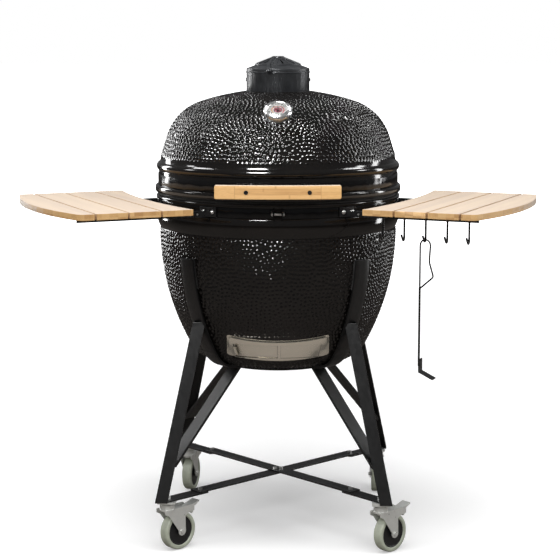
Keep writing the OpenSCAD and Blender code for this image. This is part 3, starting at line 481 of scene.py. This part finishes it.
def clear_glass():
    material, tree, shader = new_material("clear_glass")
    here = place(tree)
    put(tree, shader.inputs["Base Color"], ramp(tree, noise(tree, here, 50, 2), (0.3, (0.95, 0.97, 0.96)),
                                                (0.7, (1.0, 1.0, 1.0))))
    shader.inputs["Transmission Weight"].default_value = 1.0
    shader.inputs["IOR"].default_value = 1.12
    put(tree, shader.inputs["Roughness"], spread(tree, noise(tree, here, 120, 2), 0.0, 0.03))
    return material


BLACK = (0.0050, 0.0050, 0.0054)
SLOTS = {
    "glazed_ceramic": glazed_ceramic(),
    "felt": felt(),
    "black_steel": coated_steel("black_steel", BLACK, 0.24, 0.38),
    "band_steel": coated_steel("band_steel", (0.0030, 0.0030, 0.0032), 0.10, 0.18, shine=0.28),
    "cart_steel": coated_steel("cart_steel", (0.0042, 0.0042, 0.0044), 0.30, 0.44),
    "zinc_screws": plated("zinc_screws", (0.78, 0.78, 0.76), 0.25, 0.38),
    "dark_screws": coated_steel("dark_screws", (0.012, 0.010, 0.009), 0.25, 0.40, 900.0),
    "fireclay": fireclay(),
    "cast_iron": cast_metal("cast_iron", (0.030, 0.029, 0.028), 0.50, 0.75, 0.5),
    "grid_steel": brushed_steel("grid_steel", (0.62, 0.60, 0.57), 0.22, 0.36, (0.6, 12, 12)),
    "stainless": brushed_steel("stainless", (0.97, 0.92, 0.80), 0.15, 0.21, (0.5, 10, 14)),
    "right_bamboo": bamboo("right_bamboo", (0, 0, SWEEP)),
    "left_bamboo": bamboo("left_bamboo", (0, 0, -SWEEP)),
    "bamboo_handle": bamboo("bamboo_handle", (0, 0, 0), 0.0115, 0.0078, "X", 1.1, 1.32),
    "rubber_pad": rubber("rubber_pad", (0.012, 0.012, 0.012), 0.6, 0.8),
    "zinc_plate": plated("zinc_plate", (0.74, 0.75, 0.72), 0.24, 0.38, 0.45),
    "bright_chrome": chrome(),
    "dial_paint": dial_paint(),
    "needle_paint": needle_paint(),
    "clear_glass": clear_glass(),
    "cast_vent": cast_metal("cast_vent", (0.034, 0.036, 0.039), 0.30, 0.44, 0.25),
    "hub_plastic": rubber("hub_plastic", (0.010, 0.010, 0.011), 0.35, 0.5, 0.15),
    "grey_rubber": rubber("grey_rubber", (0.44, 0.47, 0.38), 0.45, 0.62),
}
BARE = bare_ceramic()


# ---------- Mesh helpers ----------

def make_piece(name, verts, faces, body, slot, sharp, materials=(), face_slots=None):
    """A mesh object in the shared frame that rides on a CAD body, smooth but for edges over sharp degrees."""
    mesh = bpy.data.meshes.new(name)
    mesh.from_pydata(verts, [], faces)
    for material in (SLOTS[slot], *materials):
        mesh.materials.append(material)
    if face_slots is not None:
        mesh.polygons.foreach_set("material_index", face_slots)
    mesh.polygons.foreach_set("use_smooth", [True] * len(mesh.polygons))
    mesh.set_sharp_from_angle(angle=math.radians(sharp))
    obj = bpy.data.objects.new(name, mesh)
    bpy.context.scene.collection.objects.link(obj)
    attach(obj, body)
    return obj


def arc(centre, radius, start, end, step):
    """(radius, height) points along an arc, spaced by about step."""
    count = max(2, round(abs(math.radians(end - start)) * radius / step))
    angles = [math.radians(start + (end - start) * i / count) for i in range(count + 1)]
    return [(centre[0] + radius * math.cos(a), centre[1] + radius * math.sin(a)) for a in angles]


def line(start, end, step):
    count = max(1, round(math.dist(start, end) / step))
    return [(start[0] + (end[0] - start[0]) * i / count, start[1] + (end[1] - start[1]) * i / count)
            for i in range(count + 1)]


def clean(points):
    """The points without any that repeat the one before."""
    kept = [points[0]]
    for point in points[1:]:
        if math.dist(point, kept[-1]) > 1e-6:
            kept.append(point)
    return kept


def turned_count(radius, fine):
    """Number of points round a ring: fewer near the axis and on plain inner walls."""
    count = FINE_TURN if fine else FINE_TURN // 5
    return count if radius > 0.15 or not fine else FINE_TURN // 2


def turned(rings):
    """Solid of revolution from rings (radius, height, count, material), the last ring like the first one.
    Returns points as an array, faces, the material number of each face and the first point of each ring."""
    points, faces, slots, starts = [], [], [], []
    total = 0
    for radius, height, count, _ in rings:
        angle = np.arange(count) * (2 * math.pi / count)
        points.append(np.stack([radius * np.cos(angle), radius * np.sin(angle), np.full(count, height)], 1))
        starts.append(total)
        total += count
    for (a, start_a), (b, start_b) in zip(zip(rings, starts), zip(rings[1:], starts[1:])):
        coarse, fine = min(a[2], b[2]), max(a[2], b[2])
        share = fine // coarse
        for i in range(coarse):
            ahead = (i + 1) % coarse
            many = [(i * share + k) % fine for k in range(share + 1)]
            if a[2] == coarse:
                faces.append([start_a + i, start_a + ahead] + [start_b + k for k in reversed(many)])
            else:
                faces.append([start_a + k for k in many] + [start_b + ahead, start_b + i])
            slots.append(b[3])
    return np.concatenate(points), faces, slots, starts


def pebble_places(zone, seed):
    """Centres of the pebbles on a textured stretch of the profile: jittered rows, then pushed apart."""
    rng = random.Random(seed)
    lengths = [0.0]
    for a, b in zip(zone, zone[1:]):
        lengths.append(lengths[-1] + math.dist(a, b))
    lengths = np.array(lengths)
    radii = np.array([p[0] for p in zone])
    heights = np.array([p[1] for p in zone])
    rows = round(lengths[-1] / (PITCH * ROW_SHARE))
    s_list, a_list = [], []
    for row in range(rows + 1):
        s = lengths[-1] * row / rows
        radius = np.interp(s, lengths, radii)
        count = max(5, round(2 * math.pi * radius / PITCH))
        phase = rng.random()
        for i in range(count):
            s_list.append(s + rng.uniform(-JITTER, JITTER) * PITCH)
            a_list.append(2 * math.pi * (i + phase + rng.uniform(-JITTER, JITTER)) / count)
    s = np.array(s_list)
    a = np.array(a_list)
    for _ in range(PUSH_PASSES):
        radius = np.interp(s, lengths, radii)
        place_3d = np.stack([radius * np.cos(a), radius * np.sin(a), np.interp(s, lengths, heights)], 1)
        tree = kdtree.KDTree(len(s))
        for i, p in enumerate(place_3d):
            tree.insert(p, i)
        tree.balance()
        slope_r = np.interp(s, lengths, np.gradient(radii, lengths))
        slope_z = np.interp(s, lengths, np.gradient(heights, lengths))
        push = np.zeros((len(s), 3))
        for i, p in enumerate(place_3d):
            for other, _, gap in tree.find_n(p, 7):
                if 1e-6 < gap < PITCH:
                    push[i] += (p - np.array(other)) / gap * (PITCH - gap) * PUSH_SHARE
        along_r = push[:, 0] * np.cos(a) + push[:, 1] * np.sin(a)
        s = np.clip(s + along_r * slope_r + push[:, 2] * slope_z, 0, lengths[-1])
        a = a + (push[:, 1] * np.cos(a) - push[:, 0] * np.sin(a)) / np.maximum(radius, 0.02)
    radius = np.interp(s, lengths, radii)
    return np.stack([radius * np.cos(a), radius * np.sin(a), np.interp(s, lengths, heights)], 1)


def raise_pebbles(points, first, last, zone, seed, calm):
    """Moves the points from first to last along the surface's normal into pebbles. calm gives 0 where the
    surface stays smooth, for a fitting that sits on it, and 1 elsewhere."""
    centres = pebble_places(zone, seed)
    tree = kdtree.KDTree(len(centres))
    for i, p in enumerate(centres):
        tree.insert(p, i)
    tree.balance()
    part = points[first:last]
    flat = np.array(zone)
    tangent = np.gradient(flat, axis=0)
    tangent /= np.linalg.norm(tangent, axis=1)[:, None]
    order = np.argsort(flat[:, 1])
    tan_r = np.interp(part[:, 2], flat[order, 1], tangent[order, 0])
    tan_z = np.interp(part[:, 2], flat[order, 1], tangent[order, 1])
    radius = np.hypot(part[:, 0], part[:, 1])
    meridian = np.stack([radius, part[:, 2]], 1)
    fade = np.ones(len(part))
    for end in (zone[0], zone[-1]):
        fade = np.minimum(fade, np.clip(np.linalg.norm(meridian - end, axis=1) / PEBBLE_FADE, 0, 1))
    distance = np.array([tree.find(p)[2] for p in part])
    share = np.clip(distance / PEBBLE_R, 0, 1)
    dome = 1 - share ** 2
    height = (dome * PEBBLE_H - PEBBLE_SINK) * fade * calm(part)
    normal_r, normal_z = tan_z, -tan_r
    outwards = np.sign(normal_r * radius + normal_z * (part[:, 2] - flat[:, 1].mean()) + 1e-9)
    normal_r, normal_z = normal_r * outwards, normal_z * outwards
    part[:, 0] += height * normal_r * part[:, 0] / np.maximum(radius, 1e-6)
    part[:, 1] += height * normal_r * part[:, 1] / np.maximum(radius, 1e-6)
    part[:, 2] += height * normal_z


def tube(path, radius, closed=False, sides=16):
    """Round wire along a list of points, with its frame carried along so that it doesn't twist."""
    path = [Vector(p) for p in path]
    count = len(path)
    verts, faces = [], []
    side = None
    for i, p in enumerate(path):
        before = path[i - 1] if i > 0 or closed else p
        after = path[(i + 1) % count] if i < count - 1 or closed else p
        tangent = (after - before).normalized()
        if side is None:
            side = tangent.orthogonal().normalized()
        side = (side - tangent * side.dot(tangent)).normalized()
        other = tangent.cross(side)
        for k in range(sides):
            angle = 2 * math.pi * k / sides
            verts.append(p + radius * (math.cos(angle) * side + math.sin(angle) * other))
    for i in range(count if closed else count - 1):
        ahead = (i + 1) % count
        for k in range(sides):
            k2 = (k + 1) % sides
            faces.append((i * sides + k, i * sides + k2, ahead * sides + k2, ahead * sides + k))
    if not closed:
        faces.append(tuple(reversed(range(sides))))
        faces.append(tuple(range((count - 1) * sides, count * sides)))
    return verts, faces


def rounded(points, step=0.0015, closed=False, passes=6):
    """A path through points, cut into short steps and softened at its corners."""
    dense = []
    pairs = list(zip(points, points[1:])) + ([(points[-1], points[0])] if closed else [])
    for a, b in pairs:
        a, b = Vector(a), Vector(b)
        count = max(1, round((b - a).length / step))
        dense += [a.lerp(b, i / count) for i in range(count)]
    if not closed:
        dense.append(Vector(points[-1]))
    count = len(dense)
    fixed = () if closed else (0, count - 1)
    for _ in range(passes):
        dense = [p if i in fixed else (dense[i - 1] + p * 2 + dense[(i + 1) % count]) / 4
                 for i, p in enumerate(dense)]
    return dense


# ---------- Ceramic bowl and lid ----------

def smooth_step(value, start, end):
    share = np.clip((value - start) / (end - start), 0, 1)
    return share * share * (3 - 2 * share)


def bowl_calm(points):
    """Smooth where the draft frame is seated on the bowl."""
    low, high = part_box("draft_frame")
    out_x = np.abs(points[:, 0]) - high.x
    out_z = np.maximum(low.z - points[:, 2], points[:, 2] - high.z)
    outside = np.maximum(out_x, out_z)
    outside = np.where(points[:, 1] > 0, 1.0, outside)
    return smooth_step(outside, -0.002, 0.002)


def lid_calm(points):
    """Smooth under the thermometer and round the foot of the vent."""
    gauge = np.linalg.norm(points - np.array(GAUGE_PLACE), axis=1)
    vent = np.hypot(points[:, 0], points[:, 1])
    return smooth_step(gauge, GAUGE_CLEAR - 0.003, GAUGE_CLEAR) * smooth_step(vent, *VENT_FADE)


def ring_list(profile, fine, material):
    return [(r, z, turned_count(r, fine), material) for r, z in profile]


def ceramic_piece(name, body, node, plain_start, zone, plain_end, inner, seed, calm):
    """One ceramic half: smooth rings, the pebbled zone, smooth rings, then the bare inside to the start.
    The bowl has no draft opening here; the draft frame and door stand in front of its whole wall."""
    outer = clean(plain_start + zone + plain_end)
    first_ring = len(clean(plain_start + zone[:1])) - 1
    rings = ring_list(outer, True, 0)
    rings += ring_list(clean([outer[-1]] + inner)[1:], False, 1)
    rings.append(rings[0])
    points, faces, slots, starts = turned(rings)
    last_ring = first_ring + len(clean(zone))
    raise_pebbles(points, starts[first_ring], starts[last_ring], clean(zone), seed, calm)
    obj = make_piece(name, points.tolist(), faces, body, "glazed_ceramic", CERAMIC_SHARP, (BARE,), slots)
    weld = obj.modifiers.new("weld", "WELD")
    weld.merge_threshold = 1e-6
    graph = bpy.context.evaluated_depsgraph_get()
    welded = bpy.data.meshes.new_from_object(obj.evaluated_get(graph))
    obj.modifiers.clear()
    obj.data = welded
    obj.data.set_sharp_from_angle(angle=math.radians(CERAMIC_SHARP))
    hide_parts(node)


def make_bowl():
    side_c, side_r = BOWL_SIDE
    corner_c, corner_r = BOWL_CORNER
    side_top = math.degrees(math.asin((BOWL_SIDE_TOP - side_c[1]) / side_r))
    start = line((AXIS_GAP, corner_c[1] - corner_r), (0.100, corner_c[1] - corner_r), 0.02)
    zone = (line((0.100, corner_c[1] - corner_r), (corner_c[0], corner_c[1] - corner_r), GRID_STEP)
            + arc(corner_c, corner_r, -90, BOWL_CORNER_START, GRID_STEP)
            + arc(side_c, side_r, BOWL_CORNER_START, side_top, GRID_STEP))
    end = (arc(*BOWL_BULGE, -32.4, 20.5, 0.003)
           + [(SEAT_R, 0.8195), (SEAT_R, 0.8435), (0.3035, 0.8448)]
           + arc((0.299, BOWL_RIM - 0.005), 0.005, 0, 90, 0.0012))
    inner_r = side_r - BOWL_WALL
    inner = (line((0.299, BOWL_RIM), (side_c[0] + inner_r + 0.003, BOWL_RIM), 0.02)
             + arc((side_c[0] + inner_r + 0.003, BOWL_RIM - 0.003), 0.003, 90, 180, 0.0015)
             + arc(side_c, inner_r, 1, BOWL_CORNER_START, 0.012)
             + arc(corner_c, corner_r - BOWL_WALL, BOWL_CORNER_START, -90, 0.006)
             + [(AXIS_GAP, corner_c[1] - corner_r + BOWL_WALL)])
    ceramic_piece("bowl_shell", "base", "bowl", start, clean(zone), end, inner, BOWL_SEED, bowl_calm)


def make_lid():
    crown_c, crown_r = LID_CROWN
    turn_c, turn_r = LID_TURN
    top = math.degrees(math.acos(CHIMNEY_R / crown_r))
    start = [(CHIMNEY_R, crown_c[1] + crown_r * math.sin(math.radians(top)) - 0.010)]
    zone = (arc(crown_c, crown_r, top, LID_TURN_TOP, GRID_STEP)
            + arc(turn_c, turn_r, LID_TURN_TOP, LID_TURN_LOW, GRID_STEP)
            + line((turn_c[0] + turn_r * math.cos(math.radians(LID_TURN_LOW)),
                    turn_c[1] + turn_r * math.sin(math.radians(LID_TURN_LOW))), (0.292, 0.946), GRID_STEP))
    end = ([(0.2928, 0.940)] + arc(*LID_BULGE, 70, -60, 0.002)
           + [(SEAT_R, 0.911), (SEAT_R, 0.8776), (0.3000, 0.8775)]
           + arc((0.3005, LID_RIM + 0.013), 0.006, 90, 0, 0.0015)
           + arc((0.3005, LID_RIM + 0.006), 0.006, 0, -90, 0.0015))
    inner_r = crown_r - LID_WALL
    inner_top = math.degrees(math.acos(CHIMNEY_R / inner_r))
    inner = (line((0.3005, LID_RIM), (0.272, LID_RIM), 0.02) + [(0.270, LID_RIM + 0.002), (0.270, 0.930)]
             + arc(turn_c, turn_r - LID_WALL, LID_TURN_LOW, LID_TURN_TOP, 0.008)
             + arc(crown_c, inner_r, LID_TURN_TOP, inner_top, 0.012))
    ceramic_piece("lid_shell", "lid", "lid", start, clean(zone), end, inner, LID_SEED, lid_calm)


# ---------- Ash tool ----------

def make_ash_tool():
    """Bent wire: a loop that hangs on the middle hook, a long rod and a bent scraper strip."""
    hang = Matrix.Rotation(math.radians(-SWEEP), 4, "Z") @ Matrix.Translation(TOOL_PLACE)
    side = TOOL_SIDE
    arch = [(side * math.cos(math.radians(a)), 0, side * (math.sin(math.radians(a)) - 1))
            for a in range(0, 181, 10)]
    bent = [(-side, 0, -0.116), (0.0205, 0, -0.087), (0.010, 0, -0.0525)]
    loop = rounded(arch + bent, closed=True, passes=8)
    verts, faces = tube(loop, TOOL_WIRE, closed=True)
    more, caps = tube(rounded([(-side, 0, -0.1135), (-side, 0, -0.300)], 0.01), TOOL_ROD)
    faces = faces + [tuple(i + len(verts) for i in face) for face in caps]
    verts = verts + more
    # Side outline of the scraper strip, in mm
    strip = [(-13.5, -284), (-11.5, -284), (-11.5, -313.2), (22.8, -328.9), (21.95, -330.7), (-13.5, -314.5)]
    start = len(verts)
    verts += [Vector((x * MM, y, z * MM)) for y in (-0.002, 0.023) for x, z in strip]
    count = len(strip)
    faces.append(tuple(start + i for i in reversed(range(count))))
    faces.append(tuple(start + count + i for i in range(count)))
    faces += [(start + i, start + (i + 1) % count, start + count + (i + 1) % count, start + count + i)
              for i in range(count)]
    placed = [tuple(hang @ v) for v in verts]
    obj = make_piece("ash_tool_wire", placed, faces, "ash_tool", "black_steel", 35)
    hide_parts("ash_tool")


# ---------- Finish on the carried-over nodes ----------

def soften(obj, width):
    """Small rounded edges on a CAD node, without touching its mesh."""
    weld = obj.modifiers.new("weld", "WELD")
    weld.merge_threshold = 0.00001
    bevel = obj.modifiers.new("edges", "BEVEL")
    bevel.width = width
    bevel.segments = 2
    bevel.limit_method = "ANGLE"
    bevel.angle_limit = math.radians(38)
    bevel.use_clamp_overlap = True
    bevel.harden_normals = True


CORNERS = ("front_left", "front_right", "back_left", "back_right")
# CAD nodes by material
FINISH = {
    "felt": ["base_gasket", "lid_gasket"],
    "band_steel": ["base_band", "lid_band"],
    "black_steel": ["hinge_base", "hinge_lid", "shelf_brackets", "shelf_arms", "tool_hooks",
                    "handle_brackets"],
    "cart_steel": ["cradle", "legs", "struts", "brace_bar_a", "brace_bar_b"],
    "zinc_screws": ["base_bolts", "slat_screws", "cart_bolts", "hinge_pin", "hinge_springs", "vent_pins"],
    "dark_screws": ["lid_bolts"],
    "fireclay": ["firebox", "fire_ring"],
    "cast_iron": ["charcoal_grate"],
    "grid_steel": ["cooking_grid"],
    "stainless": ["draft_frame", "draft_door", "draft_screen"],
    "right_bamboo": ["right_slats"],
    "left_bamboo": ["left_slats"],
    "bamboo_handle": ["lid_handle"],
    "rubber_pad": ["cradle_pads"],
    "zinc_plate": ["caster_mounts", "pedal_left", "pedal_right"] + ["fork_" + corner for corner in CORNERS],
    "bright_chrome": ["thermometer_case"],
    "dial_paint": ["thermometer_dial"],
    "needle_paint": ["thermometer_needle"],
    "clear_glass": ["thermometer_glass"],
    "cast_vent": ["vent_base", "vent_cap", "vent_wheel"],
    "hub_plastic": ["hub_" + corner for corner in CORNERS],
    "grey_rubber": ["tyre_" + corner for corner in CORNERS],
}
# Widths of the small rounded edges on CAD nodes
EDGE = {"right_slats": 0.0016, "left_slats": 0.0016, "fire_ring": 0.003, "firebox": 0.002,
        "vent_cap": 0.0008, "vent_base": 0.0008, "legs": 0.0006, "struts": 0.0008, "cradle": 0.0006,
        "pedal_left": 0.0008, "pedal_right": 0.0008, "shelf_arms": 0.0005, "shelf_brackets": 0.0005,
        "brace_bar_a": 0.0006, "brace_bar_b": 0.0006, "lid_band": 0.0004, "base_band": 0.0004}


def finish_nodes():
    """Gives every CAD node its material and some their rounded edges."""
    for slot, names in FINISH.items():
        for name in names:
            obj = nodes[name]
            obj.data.materials.clear()
            obj.data.materials.append(SLOTS[slot])
            if name in EDGE:
                soften(obj, EDGE[name])
    for name, slot in (("bowl", "glazed_ceramic"), ("lid", "glazed_ceramic"), ("ash_tool", "black_steel")):
        nodes[name].data.materials.clear()
        nodes[name].data.materials.append(SLOTS[slot])


# ---------- Studio ----------

def flat_sheet(name, width, height):
    """An upward-facing rectangle round the origin."""
    w, h = width / 2, height / 2
    mesh = bpy.data.meshes.new(name)
    mesh.from_pydata([(-w, -h, 0), (w, -h, 0), (w, h, 0), (-w, h, 0)], [], [(0, 1, 2, 3)])
    sheet = bpy.data.objects.new(name, mesh)
    bpy.context.scene.collection.objects.link(sheet)
    return sheet


def make_floor():
    """Pale floor that fades to plain white away from the object, and looks grey in reflections. For the
    camera it glows, more with distance from the object: a painted glow that leaves painted shade round the
    object.
    """
    floor = flat_sheet("studio_floor", FLOOR_WIDTH, FLOOR_WIDTH)
    material, tree, shader = new_material("studio_floor")
    path = add(tree, "LightPath")
    seen = mix(tree, path.outputs["Is Camera Ray"], (0.20, 0.18, 0.165), (0.74, 0.74, 0.74))
    put(tree, shader.inputs["Base Color"], seen)
    put(tree, shader.inputs["Roughness"], spread(tree, noise(tree, place(tree), 3), 0.85, 0.95))
    shader.inputs["Specular IOR Level"].default_value = 0.0
    # Painted light: for camera rays the floor glows, more with distance from the object, so it turns plain
    # white far off and stays darker, as painted shade, round the object.
    away = add(tree, "VectorMath", operation="LENGTH")
    put(tree, away.inputs[0], place(tree, scale=(1.5, 0.6, 1.0)))
    put(tree, shader.inputs["Emission Color"], (1.0, 1.0, 1.0))
    painted_glow_near = spread(tree, away.outputs["Value"], 0.20, 0.52, 0.0, 0.92)
    painted_glow_far = spread(tree, away.outputs["Value"], 0.0, 1.4, 1.0, 4.0)
    glow = maths(tree, "MULTIPLY", maths(tree, "ADD", painted_glow_near, painted_glow_far), path.outputs["Is Camera Ray"])
    put(tree, shader.inputs["Emission Strength"], glow)
    floor.data.materials.append(material)


def make_world():
    world = bpy.data.worlds.new("studio")
    bpy.context.scene.world = world
    world.use_nodes = True
    tree = world.node_tree
    back = tree.nodes["Background"]
    path = add(tree, "LightPath")
    sky = mix(tree, path.outputs["Is Camera Ray"], (0.15, 0.15, 0.152), (1.0, 1.0, 1.0))
    put(tree, back.inputs["Color"], sky)
    back.inputs["Strength"].default_value = 1.0


def aim(obj, place_at, target):
    obj.location = place_at
    obj.rotation_mode = "QUATERNION"
    obj.rotation_quaternion = (Vector(target) - Vector(place_at)).to_track_quat("-Z", "Y")


def from_front(azimuth, elevation, distance, target):
    """A place at this azimuth from the front, positive to the left, and this elevation, seen from target."""
    a, e = math.radians(azimuth), math.radians(elevation)
    out = Vector((-math.sin(a) * math.cos(e), -math.cos(a) * math.cos(e), math.sin(e)))
    return Vector(target) + distance * out


def make_card(name, azimuth, elevation, distance, width, height, strength):
    """A glowing rectangle, in metres, that only shows in reflections."""
    card = flat_sheet(name, width, height)
    aim(card, from_front(azimuth, elevation, distance, CARD_TARGET), CARD_TARGET)
    material = bpy.data.materials.new(name)
    material.use_nodes = True
    tree = material.node_tree
    tree.nodes.clear()
    glow = add(tree, "Emission")
    glow.inputs["Strength"].default_value = strength
    output = add(tree, "OutputMaterial")
    put(tree, output.inputs["Surface"], glow.outputs["Emission"])
    card.data.materials.append(material)
    card.visible_camera = False
    card.visible_diffuse = False
    card.visible_transmission = False
    card.visible_shadow = False


def make_lamp(name, azimuth, elevation, distance, size, power):
    """A soft lamp that lights surfaces but isn't seen in reflections."""
    data = bpy.data.lights.new(name, "AREA")
    data.shape = "SQUARE"
    data.size = size
    data.energy = power
    lamp = bpy.data.objects.new(name, data)
    bpy.context.scene.collection.objects.link(lamp)
    aim(lamp, from_front(azimuth, elevation, distance, LAMP_TARGET), LAMP_TARGET)
    lamp.visible_glossy = False
    lamp.visible_camera = False


def make_camera():
    data = bpy.data.cameras.new("camera")
    data.sensor_width = CAMERA_SENSOR
    data.lens = CAMERA_LENS
    camera = bpy.data.objects.new("camera", data)
    bpy.context.scene.collection.objects.link(camera)
    camera.location = CAMERA_PLACE
    camera.rotation_euler = (math.radians(90 - CAMERA_TILT), 0, 0)
    bpy.context.scene.camera = camera


def make_studio():
    bpy.context.scene.view_settings.view_transform = "Standard"
    make_floor()
    make_world()
    make_card("card_left", 128, 8, 2.2, 0.35, 1.3, 16)
    make_card("card_right", -104, 6, 2.2, 0.30, 1.3, 12)
    make_card("card_spot", 20, 38, 2.8, 0.66, 0.60, 98)
    make_card("card_spot_left", 92, 26, 2.8, 0.40, 0.50, 13)
    make_card("card_spot_right", -86, 26, 2.8, 0.40, 0.50, 17)
    make_card("card_high_left", 128, 52, 2.8, 0.55, 0.50, 19)
    make_card("card_high_right", -124, 52, 2.8, 0.55, 0.50, 21)
    make_lamp("lamp_top", 15, 72, 3.2, 2.6, 112)
    make_lamp("lamp_front", 0, 14, 4.4, 2.6, 62)
    make_lamp("lamp_left", 60, 35, 3.4, 1.8, 38)
    make_lamp("lamp_right", -60, 30, 3.4, 1.8, 45)
    make_camera()


finish_nodes()
make_bowl()
make_lid()
make_ash_tool()
make_studio()
